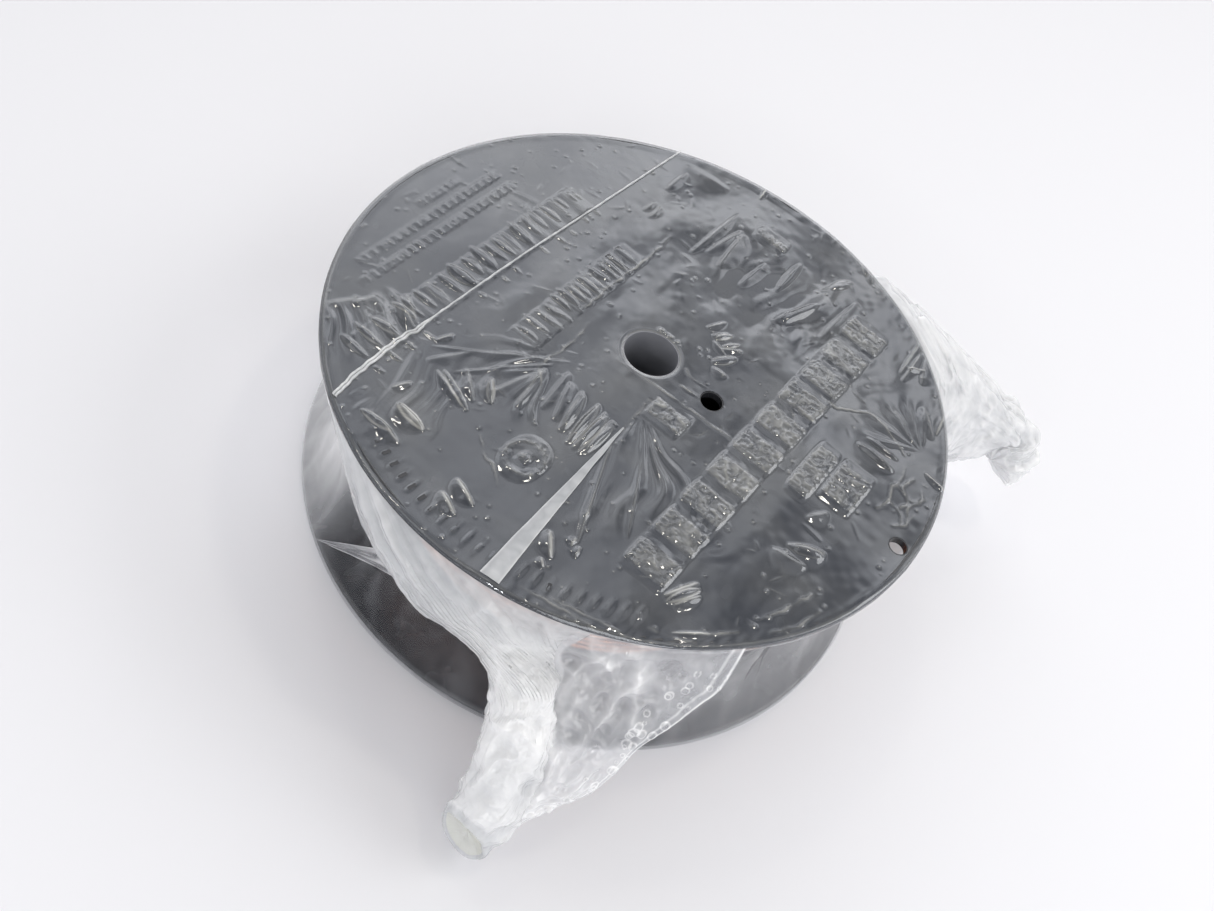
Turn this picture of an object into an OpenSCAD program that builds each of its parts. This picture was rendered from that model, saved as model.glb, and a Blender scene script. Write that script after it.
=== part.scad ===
// Flanged wire spool in a clear film bag. Millimetres, +Z up along the bore.
// The origin is on the bore axis, at the lower end of the hub tube.
// +X runs from the bore towards the drive hole and the rim hole of the top flange.

/* [Spool] */
// Outside diameter of both flanges
flange_d = 250; // [210:1:300]
// Overall width, between the two ends of the hub tube
spool_w = 88; // [70:0.5:110]
// Thickness of a flange plate
flange_t = 3; // [2.4:0.1:5]
// Height of the raised rim bead and of the raised marks
bead_h = 0.6; // [0.4:0.1:1]
// Outside diameter of the barrel that carries the wire
barrel_d = 124; // [100:1:140]
// Wall of the barrel
barrel_wall = 2.8; // [2:0.1:4]

/* [Hub] */
// Diameter of the bore
bore_d = 22; // [18:0.5:28]
// Wall of the hub tube where it passes through a flange
hub_wall = 2.5; // [1.5:0.1:3]
// Number of ribs between the hub and the barrel
rib_count = 6; // [3:3:6]
// Thickness of a rib
rib_t = 2; // [1.5:0.1:3]

/* [Holes] */
// Diameter of the drive hole beside the bore
drive_hole_d = 8.8; // [6:0.1:10]
// Distance from the bore axis to the drive hole
drive_hole_at = 30; // [28:0.5:34]
// Diameter of the hole near the rim that takes the end of the wire
rim_hole_d = 7; // [5.5:0.1:9]
// Distance in from the rim to the middle of the rim hole
rim_hole_in = 7; // [6:0.5:10]
// How far the bottom flange is turned from the top flange
bottom_turn = 120; // [120:120:240]

/* [Wire] */
// Diameter of the wire
wire_d = 3; // [2.4:0.1:3.2]
// Outside diameter of the wound wire
winding_d = 176; // [160:1:184]
// Least room between one turn and the next
turn_gap = 0.45; // [0.45:0.05:1]
// Azimuth of the hole in the barrel where the wire starts
start_az = 20; // [18:1:22]
// Depth of the wire's start below the top flange
start_drop = 8; // [7:0.5:12]

/* [Film] */
// Thickness of the film
film_t = 0.35; // [0.3:0.05:0.6]
// How far the film is drawn in between the flanges, as a share of the room outside the wire
film_pull = 0.35; // [0.1:0.05:0.7]
// Radius of the gathered film in the two tails
tail_r = 12.5; // [10:0.5:14]
// Azimuth of the front tail
front_az = -70; // [-75:1:-65]
// Reach of the front tail past the rim
front_reach = 51; // [40:1:60]
// Azimuth of the rear tail
rear_az = 45; // [40:1:50]
// Reach of the rear tail past the rim
rear_reach = 75; // [60:1:90]

/* [Raised marks] */
// Number of large blank pads in a row on the top flange
pad_count = 10; // [6:1:11]

/* [Hidden] */
$fn = 96;

// Play between moulded pieces, and between the wire and what it lies on
play = 0.15;
flange_r = flange_d / 2;
barrel_r = barrel_d / 2;
barrel_in = barrel_r - barrel_wall;
bore_r = bore_d / 2;
hub_r = bore_r + hub_wall;

// Faces of the two flange plates
bottom_out = bead_h;
bottom_in = bottom_out + flange_t;
top_out = spool_w - bead_h;
top_in = top_out - flange_t;
film_low = -film_t;
film_high = spool_w + film_t;

// The bag's wall: its play round the rims, the height of a rim, and how far it is drawn in
film_play = 0.1;
film_lip = flange_t + bead_h;
film_draw = film_pull * (flange_r - winding_d / 2);

// Rings moulded on the inner face of each flange
ring_wall = 2.5;
hub_ring_h = 6;
barrel_ring_h = 5;
hub_mid_r = hub_r + ring_wall;
collar_r = hub_mid_r + ring_wall;
bead_in = 1.6;
rim_hole_at = flange_r - rim_hole_in;

// Winding: one layer that turns over a core
wire_r = wire_d / 2;
wind_r = winding_d / 2 - wire_r;
end_gap = 0.5;
wind_top = top_in - end_gap - wire_r;
wind_low = bottom_in + end_gap + wire_r;
max_turns = 24;
turns = min(max_turns, floor((wind_top - wind_low) / (wire_d + turn_gap)));
pitch = (wind_top - wind_low) / turns;
rings = 24;
sides = 6;
core_r = wind_r * cos(180 / rings) - wire_r - play;
core_gap = 0.3;
// The wire leaves the layer along a tangent that meets the rim hole
leave_az = bottom_turn - acos(wind_r / rim_hole_at);
dive_bend = 5;
exit_bend = 1.6 * wire_d;

// Flange diameter that the layout of the raised marks is drawn for
mark_flange_d = 250;
// Room round each hole in the film
film_hole_play = 0.5;

// ---- Helpers ----

function unit(v) = v / norm(v);
function polar(r, a, z) = [r * cos(a), r * sin(a), z];

// Direction of a path at point i
function heading(path, i) =
    unit(path[min(i + 1, len(path) - 1)] - path[max(i - 1, 0)]);

// Points of a tube along a path; side is a direction that the path never takes
function tube_ring(path, i, r, n, side) =
    let (t = heading(path, i), u = unit(cross(t, side)), v = cross(u, t))
    [for (j = [0 : n - 1]) path[i] + r * (cos(360 * j / n) * u + sin(360 * j / n) * v)];

function tube_points(path, r, n, side) =
    [for (i = [0 : len(path) - 1]) each tube_ring(path, i, r, n, side)];

// A closed tube with triangular faces
module tube(path, r, n, side) {
    last = len(path) - 1;
    walls = [for (i = [0 : last - 1], j = [0 : n - 1])
        let (a = i * n + j, b = i * n + (j + 1) % n)
        each [[a, b + n, b], [a, a + n, b + n]]];
    low_end = [for (j = [1 : n - 2]) [0, j, j + 1]];
    high_end = [for (j = [1 : n - 2]) [last * n, last * n + j + 1, last * n + j]];
    polyhedron(tube_points(path, r, n, side), concat(walls, low_end, high_end));
}

module rounded_pad(w, l, r) {
    square([w - 2 * r, l], center = true);
    square([w, l - 2 * r], center = true);
    for (x = [-1, 1], y = [-1, 1])
        translate([x * (w / 2 - r), y * (l / 2 - r)]) circle(r = r, $fn = 24);
}

// ---- Spool mouldings ----

// A row of blank bars that runs along Y
module row_of_bars(x, y_low, y_high, w, l, step) {
    for (y = [y_low : step : y_high]) translate([x, y]) square([w, l], center = true);
}

module row_of_pads(x, w, row_l, gap) {
    step = row_l / pad_count;
    for (i = [0 : pad_count - 1])
        translate([x, (i - (pad_count - 1) / 2) * step]) rounded_pad(w, step - gap, 1.2);
}

// Plain mould stamp: a ring with a dot
module stamp(r) {
    difference() {
        circle(r = r);
        circle(r = r - 1.4);
    }
    circle(r = 2.2);
}

// Blank raised marks in rows across the outer face of the top flange
module marks_2d() {
    scale(flange_d / mark_flange_d) {
        translate([0, 2.5]) row_of_pads(56, 17.5, 174, 5.5);
        translate([76.5, 3]) rounded_pad(9, 26, 1.2);
        translate([90, 7]) rounded_pad(14, 18, 1.2);
        translate([22.5, -20]) rounded_pad(16, 9, 1);
        translate([-2, 96]) rounded_pad(15, 4.5, 1);
        translate([-2, -76]) stamp(8);
        row_of_bars(-72, -78, 48, 15, 3.2, 8.5);
        row_of_bars(-37.5, -33, 36, 13, 2.6, 6.8);
        row_of_bars(-94.5, -58, 25, 4, 1.7, 4.1);
        row_of_bars(-102.5, -50, 25, 4, 1.7, 4.1);
        row_of_bars(-110, -10, 8, 3.4, 1.5, 3.6);
    }
    // Short ticks along the rim
    for (a = [-121 : 2.6 : -56]) rotate(a)
        translate([flange_r - 9.5, 0]) square([3.2, 1.3], center = true);
}

// A flange with its outer face up, the plate from z = 0 to flange_t
module flange(marked) {
    difference() {
        union() {
            rotate_extrude() {
                square([flange_r - flange_t / 2, flange_t]);
                translate([flange_r - flange_t / 2, flange_t / 2]) circle(d = flange_t, $fn = 32);
            }
            // Rim bead
            translate([0, 0, flange_t]) rotate_extrude()
                translate([flange_r - bead_in - bead_h, 0]) intersection() {
                    circle(r = bead_h, $fn = 24);
                    translate([-bead_h, -bead_h / 2]) square([2 * bead_h, 2 * bead_h]);
                }
            // Rings that locate the hub tube and the barrel
            translate([0, 0, -hub_ring_h]) cylinder(r = collar_r, h = hub_ring_h + 1);
            translate([0, 0, -barrel_ring_h]) difference() {
                cylinder(r = barrel_in - play, h = barrel_ring_h + 1);
                translate([0, 0, -1]) cylinder(r = barrel_in - play - ring_wall, h = barrel_ring_h + 1);
            }
            if (marked) translate([0, 0, flange_t / 2]) linear_extrude(flange_t / 2 + bead_h) marks_2d();
        }
        translate([0, 0, -hub_ring_h - 1]) cylinder(r = hub_r + play, h = hub_ring_h + flange_t + 2);
        translate([drive_hole_at, 0, -1]) cylinder(d = drive_hole_d, h = flange_t + 2);
        translate([rim_hole_at, 0, -1]) cylinder(d = rim_hole_d, h = flange_t + 2);
    }
}

module top_flange() {
    color("#2b2e33") translate([0, 0, top_in]) flange(true);
}

module bottom_flange() {
    color("#1b1c1f") translate([0, 0, bottom_in]) rotate(bottom_turn) mirror([0, 0, 1]) flange(false);
}

module barrel() {
    wire_hole_r = wire_r + 0.7;
    color("#222428") difference() {
        translate([0, 0, bottom_in]) cylinder(r = barrel_r, h = top_in - bottom_in);
        translate([0, 0, bottom_in - 1]) cylinder(r = barrel_in, h = top_in - bottom_in + 2);
        translate([0, 0, top_in - start_drop]) rotate(start_az) rotate([0, 90, 0])
            cylinder(r = wire_hole_r, h = barrel_r + 1);
    }
}

module hub_tube() {
    color("#303338") difference() {
        union() {
            cylinder(r = hub_r, h = spool_w);
            translate([0, 0, bottom_in + hub_ring_h])
                cylinder(r = hub_mid_r, h = top_in - bottom_in - 2 * hub_ring_h);
        }
        translate([0, 0, -1]) cylinder(r = bore_r, h = spool_w + 2);
    }
}

module rib_spider() {
    low = bottom_in + hub_ring_h;
    h = top_in - bottom_in - 2 * hub_ring_h;
    rib_step = 1;
    rib_l = barrel_in - play - hub_r;
    color("#33363b") translate([0, 0, low]) difference() {
        union() {
            cylinder(r = collar_r, h = h);
            for (i = [0 : rib_count - 1]) rotate((i + 0.5) * 360 / rib_count)
                translate([hub_r, -rib_t / 2, rib_step]) cube([rib_l, rib_t, h - 2 * rib_step]);
        }
        translate([0, 0, -1]) cylinder(r = hub_mid_r + play, h = h + 2);
    }
}

// ---- Wire ----

// Path of the outer layer: out of the core, round, and down to the free end
function dive_path() =
    let (n = polar(1, leave_az, 0), t = polar(1, leave_az + 90, 0),
         c = polar(wind_r - dive_bend, leave_az, wind_top))
    concat([c - dive_bend * t - wire_d * n],
        [for (a = [0 : 22.5 : 89]) c - dive_bend * cos(a) * t + dive_bend * sin(a) * n]);

function helix_path() =
    [for (i = [0 : turns * rings])
        polar(wind_r, leave_az + 360 * i / rings, wind_top - pitch * i / rings)];

join_point = polar(wind_r, leave_az, wind_low) + wire_d * polar(1, leave_az + 90, 0);
layer_path = concat(dive_path(), helix_path(), [join_point]);

// Least distance between the points of one turn and of the next
function least_gap(points, first) =
    min([for (i = [first : rings * (turns - 1) + first - 1], m = [rings - 1 : rings + 1])
        for (j = [0 : sides - 1], k = [0 : sides - 1])
            norm(points[i * sides + j] - points[(i + m) * sides + k])]);

module wire_core() {
    pocket_w = wire_d + 1.4;
    color("#a85a34") difference() {
        translate([0, 0, bottom_in + core_gap]) cylinder(r = core_r, h = top_in - bottom_in - 2 * core_gap);
        translate([0, 0, bottom_in]) cylinder(r = barrel_r + play, h = top_in - bottom_in);
        // Pocket where the outer layer comes up from the layers below
        rotate(leave_az)
            translate([wind_r - dive_bend - wire_d, -dive_bend - pocket_w / 2, wind_top - pocket_w / 2])
            cube([dive_bend + 2 * wire_d, dive_bend + pocket_w, pocket_w + wire_d]);
    }
}

module wire_outer_layer() {
    points = tube_points(layer_path, wire_r, sides, [0, 0, 1]);
    echo(turns = turns, pitch = pitch, least_turn_gap = least_gap(points, len(dive_path())));
    color("#c4703f") tube(layer_path, wire_r, sides, [0, 0, 1]);
}

// The start of the wire, through the barrel and into the hollow round the hub
module wire_start_end() {
    start_z = top_in - start_drop;
    core_in_r = barrel_r + play;
    start_r = sqrt(core_in_r * core_in_r - wire_r * wire_r);
    tip_r = hub_r + 20;
    sag = 1.5;
    path = [for (i = [0 : 10])
        let (f = i / 10, bend = max(0, f - 0.3) / 0.7)
        polar(start_r - f * (start_r - tip_r), start_az, start_z - sag * bend * bend)];
    color("#c4703f") tube(path, wire_r, 8, polar(1, start_az + 90, 0));
}

// The end of the wire, along a tangent and down through the rim hole of the bottom flange
module wire_free_end() {
    t = polar(1, leave_az + 90, 0);
    end = polar(rim_hole_at, bottom_turn, bottom_out);
    bend_c = end + [0, 0, wire_d] - exit_bend * t;
    run_end = bend_c + [0, 0, exit_bend];
    run_start = join_point + wire_d * t;
    steps = 8;
    path = concat([join_point],
        [for (i = [0 : steps])
            let (f = i / steps, ease = f * f * (3 - 2 * f))
            [run_start.x + f * (run_end.x - run_start.x), run_start.y + f * (run_end.y - run_start.y),
             run_start.z + ease * (run_end.z - run_start.z)]],
        [for (a = [18 : 18 : 90]) bend_c + exit_bend * (sin(a) * t + [0, 0, cos(a)])],
        [end]);
    color("#c4703f") tube(path, wire_r, 8, polar(1, leave_az, 0));
}

// ---- Film ----

module film_top() {
    color("#8d939b", 0.4) translate([0, 0, spool_w]) difference() {
        cylinder(r = flange_r, h = film_t);
        translate([0, 0, -1]) cylinder(r = bore_r + film_hole_play, h = film_t + 2);
        translate([drive_hole_at, 0, -1]) cylinder(r = drive_hole_d / 2 + film_hole_play, h = film_t + 2);
        translate([rim_hole_at, 0, -1]) cylinder(r = rim_hole_d / 2 + film_hole_play, h = film_t + 2);
    }
}

module film_bottom() {
    color("#8d939b", 0.4) translate([0, 0, film_low]) difference() {
        cylinder(r = flange_r, h = film_t);
        translate([0, 0, -1]) cylinder(r = bore_r + film_hole_play, h = film_t + 2);
    }
}

// Outer radius of the bag's wall at height z: tight on both rims, and drawn in between them
function film_wall_r(z) =
    flange_r + film_play + film_t - film_draw * sin(180 * (z - film_lip) / (spool_w - 2 * film_lip));

// Point at a distance outside the bag's wall, square to it at height z
function beside_wall(azimuth, z, distance) =
    let (n = unit([1, film_wall_r(z - 0.5) - film_wall_r(z + 0.5)]))
    polar(film_wall_r(z) + distance * n.x, azimuth, z + distance * n.y);

// A stretch of the bag's wall between two heights, with a straight lip on a rim where one is given
module film_wall(low, high, low_lip = [], high_lip = []) {
    steps = 6;
    heights = concat(low_lip, [for (i = [0 : steps]) low + (high - low) * i / steps], high_lip);
    outer = [for (z = heights) [film_wall_r(min(max(z, film_lip), spool_w - film_lip)), z]];
    inner = [for (i = [len(outer) - 1 : -1 : 0]) outer[i] - [film_t, 0]];
    color("#9aa0a8", 0.3) rotate_extrude() polygon(concat(outer, inner));
}

module film_side_upper() {
    film_wall(spool_w / 2, spool_w - film_lip, high_lip = [film_high]);
}

module film_side_lower() {
    film_wall(film_lip, spool_w / 2, low_lip = [film_low]);
}

// Welded seam that runs across the top
module film_seam() {
    seam_x = -0.516 * flange_r;
    seam_l = 2 * (sqrt(flange_r * flange_r - seam_x * seam_x) - 1.5);
    color("#d8dadd") translate([seam_x, 0, film_high]) rotate(0.6)
        translate([-0.7, -seam_l / 2, 0]) cube([1.4, seam_l, 0.5]);
}

// Tapered strip of doubled film, from near the bore out to the rim
module film_edge_strip() {
    tip_y = -40;
    rim_y = -0.97 * flange_r;
    color("#b4b8bd") translate([0, 0, film_high]) linear_extrude(0.3)
        polygon([[13.9, tip_y], [14.7, tip_y], [24.2, rim_y + 1], [16.8, rim_y]]);
}

// Gathered film as one plain body through a row of balls, each [centre, radius]
module gathered(balls) {
    for (i = [0 : len(balls) - 2]) hull() {
        translate(balls[i][0]) sphere(r = balls[i][1], $fn = 20);
        translate(balls[i + 1][0]) sphere(r = balls[i + 1][1], $fn = 20);
    }
}

// Gathered mouth of the bag, which droops to the table
module film_front_tail() {
    neck_r = 8;
    gap = 0.5;
    tip_at = flange_r + front_reach - tail_r;
    color("#e4e6e8", 0.8) gathered([
        [beside_wall(front_az, 0.75 * spool_w, neck_r + gap), neck_r],
        [polar(flange_r + 13, front_az + 2, 0.5 * spool_w), tail_r],
        [polar(flange_r + 26, front_az + 2, 0.32 * spool_w), tail_r],
        [polar(tip_at, front_az, film_low + tail_r + gap), tail_r]]);
}

// Loose flap of the bag beside the front tail; each corner is [past the rim, azimuth, height]
module film_front_flap() {
    corners = [[3, 31, 0.93], [16, 22, 0.68], [28, 16, 0.48], [35, 10, 0.31], [33, 8, 0.31], [16, 10, 0.6]];
    color("#c9cdd2", 0.5) hull() for (c = corners)
        translate(polar(flange_r + c[0], front_az + c[1], c[2] * spool_w)) sphere(r = 0.8, $fn = 8);
}

// Gathered far end of the bag, which stands out at mid height
module film_rear_tail() {
    neck_r = 8;
    color("#e4e6e8", 0.8) gathered([
        [polar(flange_r + 10, rear_az + 22, 0.7 * spool_w), neck_r],
        [polar(flange_r + 17, rear_az + 4, 0.58 * spool_w), tail_r + 2],
        [polar(flange_r + rear_reach - tail_r, rear_az, 0.49 * spool_w), tail_r]]);
}

top_flange();
bottom_flange();
barrel();
hub_tube();
rib_spider();
wire_core();
wire_outer_layer();
wire_start_end();
wire_free_end();
film_top();
film_side_upper();
film_side_lower();
film_bottom();
film_seam();
film_edge_strip();
film_front_tail();
film_front_flap();
film_rear_tail();
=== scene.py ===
# Looks of the film-wrapped wire spool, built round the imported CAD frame.
# Lengths are millimetres in the frame of the part, and MM turns them into metres. What the shaders,
# the lights and the camera's clipping take is in metres.
import math

import bpy
import numpy as np
from mathutils import Matrix, Vector
from mathutils.bvhtree import BVHTree


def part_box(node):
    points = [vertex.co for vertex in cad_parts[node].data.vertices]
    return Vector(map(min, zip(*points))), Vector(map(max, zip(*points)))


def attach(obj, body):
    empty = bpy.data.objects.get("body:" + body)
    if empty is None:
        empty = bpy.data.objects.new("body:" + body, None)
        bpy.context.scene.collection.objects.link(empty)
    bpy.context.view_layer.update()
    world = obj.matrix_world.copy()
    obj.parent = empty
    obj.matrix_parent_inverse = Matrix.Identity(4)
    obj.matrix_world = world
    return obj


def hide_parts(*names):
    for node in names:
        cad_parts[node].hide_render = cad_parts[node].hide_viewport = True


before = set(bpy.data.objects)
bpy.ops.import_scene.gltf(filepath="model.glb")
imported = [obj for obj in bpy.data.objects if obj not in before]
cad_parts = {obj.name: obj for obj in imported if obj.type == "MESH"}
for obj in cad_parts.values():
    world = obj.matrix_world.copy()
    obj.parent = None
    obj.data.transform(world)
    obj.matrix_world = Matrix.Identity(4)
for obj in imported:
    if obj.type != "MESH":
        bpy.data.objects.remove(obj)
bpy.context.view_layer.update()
MM = 0.001

# ---- Sizes, from the frame and from the film ----


def box_mm(node):
    low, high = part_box(node)
    return np.array(low) / MM, np.array(high) / MM


FLANGE_R = box_mm("top_flange")[1][0]
SPOOL_W = box_mm("hub_tube")[1][2]
FILM_LOW = box_mm("film_bottom")[0][2]
FILM_HIGH = box_mm("film_top")[1][2]
MARK_H = 0.6  # how far the raised marks and the hub's end stand above the plate
PLATE_Z = SPOOL_W - MARK_H  # outer face of the top flange's plate
LIP = 3.6  # height of a rim, with its bead
RIM_R = FLANGE_R + 0.45  # where the film lies on a rim
DRIVE_AT = 30.0  # how far the drive hole and the rim hole are from the axis
RIM_HOLE_AT = FLANGE_R - 7.0
BORE_OPEN = 11.5  # radii of the film's openings over the three holes of the top flange
DRIVE_OPEN = 4.9
RIM_HOLE_OPEN = 4.0
WIRE_R = 1.5
WIND_R = box_mm("wire_outer_layer")[1][1] - WIRE_R  # the outer turns' centre line
TURNS = 22
STRAIGHT = 3  # how far the winding's tube runs straight at its two ends
LOWER_HOLE_AT = 120.0  # azimuth of the lower flange's rim hole, where the wire leaves
DRAWN_IN = 12.9  # how far the bag's wall is drawn in at half its height
MOUTH_ROOT = (-122.5, -63.0)  # azimuths between which the mouth and the flap leave the rim
FLAP_ROOT = (-67.0, -38.6)


# ---- Noise ----


def hashed(i, j, k, seed):
    """A repeatable number from -1 to 1 for each whole point of a lattice."""
    h = (i * 73856093) ^ (j * 19349663) ^ (k * 83492791) ^ (seed * 50331653)
    h = h & 0xFFFFFFFF
    h = (((h ^ (h >> 13)) & 0xFFFFFFF) * 1274126177) & 0xFFFFFFFF
    return ((h ^ (h >> 16)) & 0xFFFF) / 32767.5 - 1.0


def noise(points, seed):
    """Smooth noise from -1 to 1 at points that are given in cells."""
    base = np.floor(points).astype(np.int64)
    f = points - base
    f = f * f * (3 - 2 * f)
    total = np.zeros(points.shape[:-1])
    for corner in np.ndindex(2, 2, 2):
        weight = np.ones(points.shape[:-1])
        for axis in range(3):
            share = f[..., axis] if corner[axis] else 1 - f[..., axis]
            weight = weight * share
        at = [base[..., axis] + corner[axis] for axis in range(3)]
        total += weight * hashed(*at, seed)
    return total


def fractal(points, cell, octaves, seed):
    return sum(noise(points / cell * 2**o, seed + o) / 2**o for o in range(octaves))


def creased(points, cell, octaves, seed):
    """Noise with sharp ridges, as in crumpled film: about -0.5 to 1."""
    layers = (1 - 2.5 * np.abs(noise(points / cell * 2**o, seed + o)) for o in range(octaves))
    return sum(layer / 2**o for o, layer in enumerate(layers))


def smooth_step(x):
    x = np.clip(x, 0, 1)
    return x * x * (3 - 2 * x)


def lerp(a, b, t):
    return a + (b - a) * t


def bell(x, width):
    """1 where x is 0, and close to 0 beyond twice the width."""
    return np.exp(-(x / width)**2)


def shares(rows, columns):
    """How far along a grid's columns, and how far down its rows, from 0 to 1."""
    return np.linspace(0, 1, columns)[None, :], np.linspace(0, 1, rows)[:, None]


def between(x, low, high, soft):
    """1 between low and high, and down to 0 over a soft stretch outside them."""
    return smooth_step((x - low) / soft + 1) * smooth_step((high - x) / soft + 1)


def stacked(*parts):
    """Points from their coordinates, whatever shapes those have."""
    return np.stack(np.broadcast_arrays(*parts), -1)


def polar(r, degrees, z):
    a = np.radians(degrees)
    return stacked(r * np.cos(a), r * np.sin(a), z)


def direction(azimuth, elevation):
    """A unit vector from two angles in degrees."""
    e = math.radians(elevation)
    return Vector(polar(math.cos(e), azimuth, math.sin(e)))


# ---- Materials ----


def node_material(name):
    mat = bpy.data.materials.new(name)
    mat.use_nodes = True
    tree = mat.node_tree
    return mat, tree, tree.nodes["Principled BSDF"]


def add_node(tree, kind, inputs=(), **settings):
    node = tree.nodes.new(kind)
    for key, value in settings.items():
        setattr(node, key, value)
    for key, value in dict(inputs).items():
        if isinstance(value, bpy.types.NodeSocket):
            tree.links.new(value, node.inputs[key])
        else:
            node.inputs[key].default_value = value
    return node


def object_noise(tree, scale, detail, distortion=0.0):
    coords = add_node(tree, "ShaderNodeTexCoord")
    return add_node(tree, "ShaderNodeTexNoise", {
        "Vector": coords.outputs["Object"], "Scale": scale, "Detail": detail,
        "Distortion": distortion}).outputs["Fac"]


def ramp(tree, factor, stops):
    """A colour ramp; each stop is (place, colour)."""
    node = add_node(tree, "ShaderNodeValToRGB", {"Fac": factor})
    elements = node.color_ramp.elements
    while len(elements) < len(stops):
        elements.new(0.5)
    for element, (place, colour) in zip(elements, stops):
        element.position = place
        element.color = (*colour, 1)
    return node.outputs["Color"]


def map_range(tree, value, from_min, from_max, to_min, to_max, **settings):
    return add_node(tree, "ShaderNodeMapRange", {
        "Value": value, "From Min": from_min, "From Max": from_max,
        "To Min": to_min, "To Max": to_max}, **settings).outputs["Result"]


def math_node(tree, operation, a, b, **settings):
    node = add_node(tree, "ShaderNodeMath", {0: a, 1: b}, operation=operation, **settings)
    return node.outputs["Value"]


def bump(tree, shader, height, distance, strength):
    node = add_node(tree, "ShaderNodeBump", {"Height": height, "Distance": distance, "Strength": strength})
    tree.links.new(node.outputs["Normal"], shader.inputs["Normal"])


def moulded_black(name, dark, light, rough_low, rough_high):
    """Black polystyrene: uneven gloss, faint flow marks and an orange-peel skin."""
    mat, tree, shader = node_material(name)
    flow = object_noise(tree, 38, 4, 0.8)
    tree.links.new(ramp(tree, flow, [(0.3, dark), (0.75, light)]), shader.inputs["Base Color"])
    haze = object_noise(tree, 60, 2)
    rough = map_range(tree, haze, 0.3, 0.7, rough_low, rough_high)
    tree.links.new(rough, shader.inputs["Roughness"])
    shader.inputs["IOR"].default_value = 1.58
    bump(tree, shader, object_noise(tree, 70, 1), 0.0002, 0.04)
    return mat


def wire_metal():
    """Copper-coloured wire: bright, with tarnish in patches and fine drawing lines."""
    mat, tree, shader = node_material("copper_wire")
    patches = object_noise(tree, 60, 5, 0.6)
    stops = [(0.32, (0.42, 0.155, 0.085)), (0.5, (0.72, 0.30, 0.165)), (0.72, (0.86, 0.42, 0.25))]
    tree.links.new(ramp(tree, patches, stops), shader.inputs["Base Color"])
    shader.inputs["Metallic"].default_value = 0.7
    tree.links.new(map_range(tree, patches, 0.3, 0.7, 0.36, 0.2), shader.inputs["Roughness"])
    bump(tree, shader, object_noise(tree, 900, 2), 0.00005, 0.3)
    return mat


def film_material(name, stops, clear_alpha, milky_alpha, roughness, ior, grain_scale=140):
    """Polyethylene film. A point attribute says where its layers bunch and turn white, and on the film over
    the plate it also carries painted highlights.
    """
    mat, tree, shader = node_material(name)
    milk_and_highlight = add_node(tree, "ShaderNodeAttribute", attribute_name="milk_and_highlight").outputs["Fac"]
    grain = map_range(tree, object_noise(tree, grain_scale, 3, 0.4), 0.3, 0.7, -0.03, 0.03)
    amount = math_node(tree, "ADD", milk_and_highlight, grain, use_clamp=True)
    tree.links.new(ramp(tree, amount, stops), shader.inputs["Base Color"])
    alpha = map_range(tree, amount, 0.0, 1.0, clear_alpha, milky_alpha)
    tree.links.new(alpha, shader.inputs["Alpha"])
    shader.inputs["Roughness"].default_value = roughness
    shader.inputs["IOR"].default_value = ior
    return mat, tree, shader


def film_on_black():
    """Clear film that clings to the black plate, so it shows dark, and milky where it folds."""
    # The milky end of the ramp is cream, the tone of the warm glints that the painted highlights stand for.
    stops = [(0.0, (0.062, 0.068, 0.082)), (1.0, (0.62, 0.61, 0.55))]
    mat, _, shader = film_material("film_on_flange", stops, 0.74, 0.95, 0.08, 2.1, 60)
    shader.inputs["Specular Tint"].default_value = (0.93, 0.955, 1.0, 1)
    return mat


def clear_film():
    stops = [(0.0, (0.50, 0.52, 0.57)), (1.0, (0.93, 0.93, 0.94))]
    return film_material("clear_film", stops, 0.07, 0.88, 0.12, 2.0)[0]


def bunched_film():
    """White film where many layers lie together, a little translucent, and yellowish at its cut end."""
    stops = [(0.22, (0.93, 0.94, 0.84)), (0.30, (0.66, 0.68, 0.71)), (1.0, (0.93, 0.93, 0.935))]
    mat, tree, shader = film_material("white_film", stops, 0.30, 0.99, 0.2, 1.5)
    shader.inputs["Subsurface Weight"].default_value = 0.3
    shader.inputs["Subsurface Radius"].default_value = (0.008, 0.008, 0.008)
    shader.inputs["Subsurface Scale"].default_value = 1.0
    shader.inputs["Coat Weight"].default_value = 0.6
    shader.inputs["Coat Roughness"].default_value = 0.06
    bump(tree, shader, object_noise(tree, 150, 3, 1.5), 0.0008, 0.35)
    return mat


# ---- Meshes ----


def add_object(name, data):
    item = bpy.data.objects.new(name, data)
    bpy.context.scene.collection.objects.link(item)
    return item


def new_piece(name, points, faces, material, milk_and_highlight):
    """A smooth piece from points in millimetres, with the film's milkiness and painted highlight at each
    point.
    """
    mesh = bpy.data.meshes.new(name)
    mesh.from_pydata((points * MM).tolist(), [], faces.tolist())
    attribute = mesh.attributes.new("milk_and_highlight", "FLOAT", "POINT")
    attribute.data.foreach_set("value", np.clip(milk_and_highlight, 0, 1).astype(np.float32))
    mesh.shade_smooth()
    mesh.materials.append(material)
    piece = add_object(name, mesh)
    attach(piece, "root")
    return piece


def grid_faces(rows, columns, closed=False):
    """Quads between the points of a grid; closed joins its last column to its first."""
    i, j = np.meshgrid(np.arange(rows - 1), np.arange(columns - (not closed)), indexing="ij")
    k = (j + 1) % columns
    quads = np.stack([i * columns + j, i * columns + k, (i + 1) * columns + k, (i + 1) * columns + j], -1)
    return quads.reshape(-1, 4)


def grid_piece(name, points, material, milk_and_highlight, closed=False):
    rows, columns = points.shape[:2]
    milk_and_highlight = np.broadcast_to(milk_and_highlight, (rows, columns)).reshape(-1)
    return new_piece(name, points.reshape(-1, 3), grid_faces(rows, columns, closed), material, milk_and_highlight)


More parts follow.
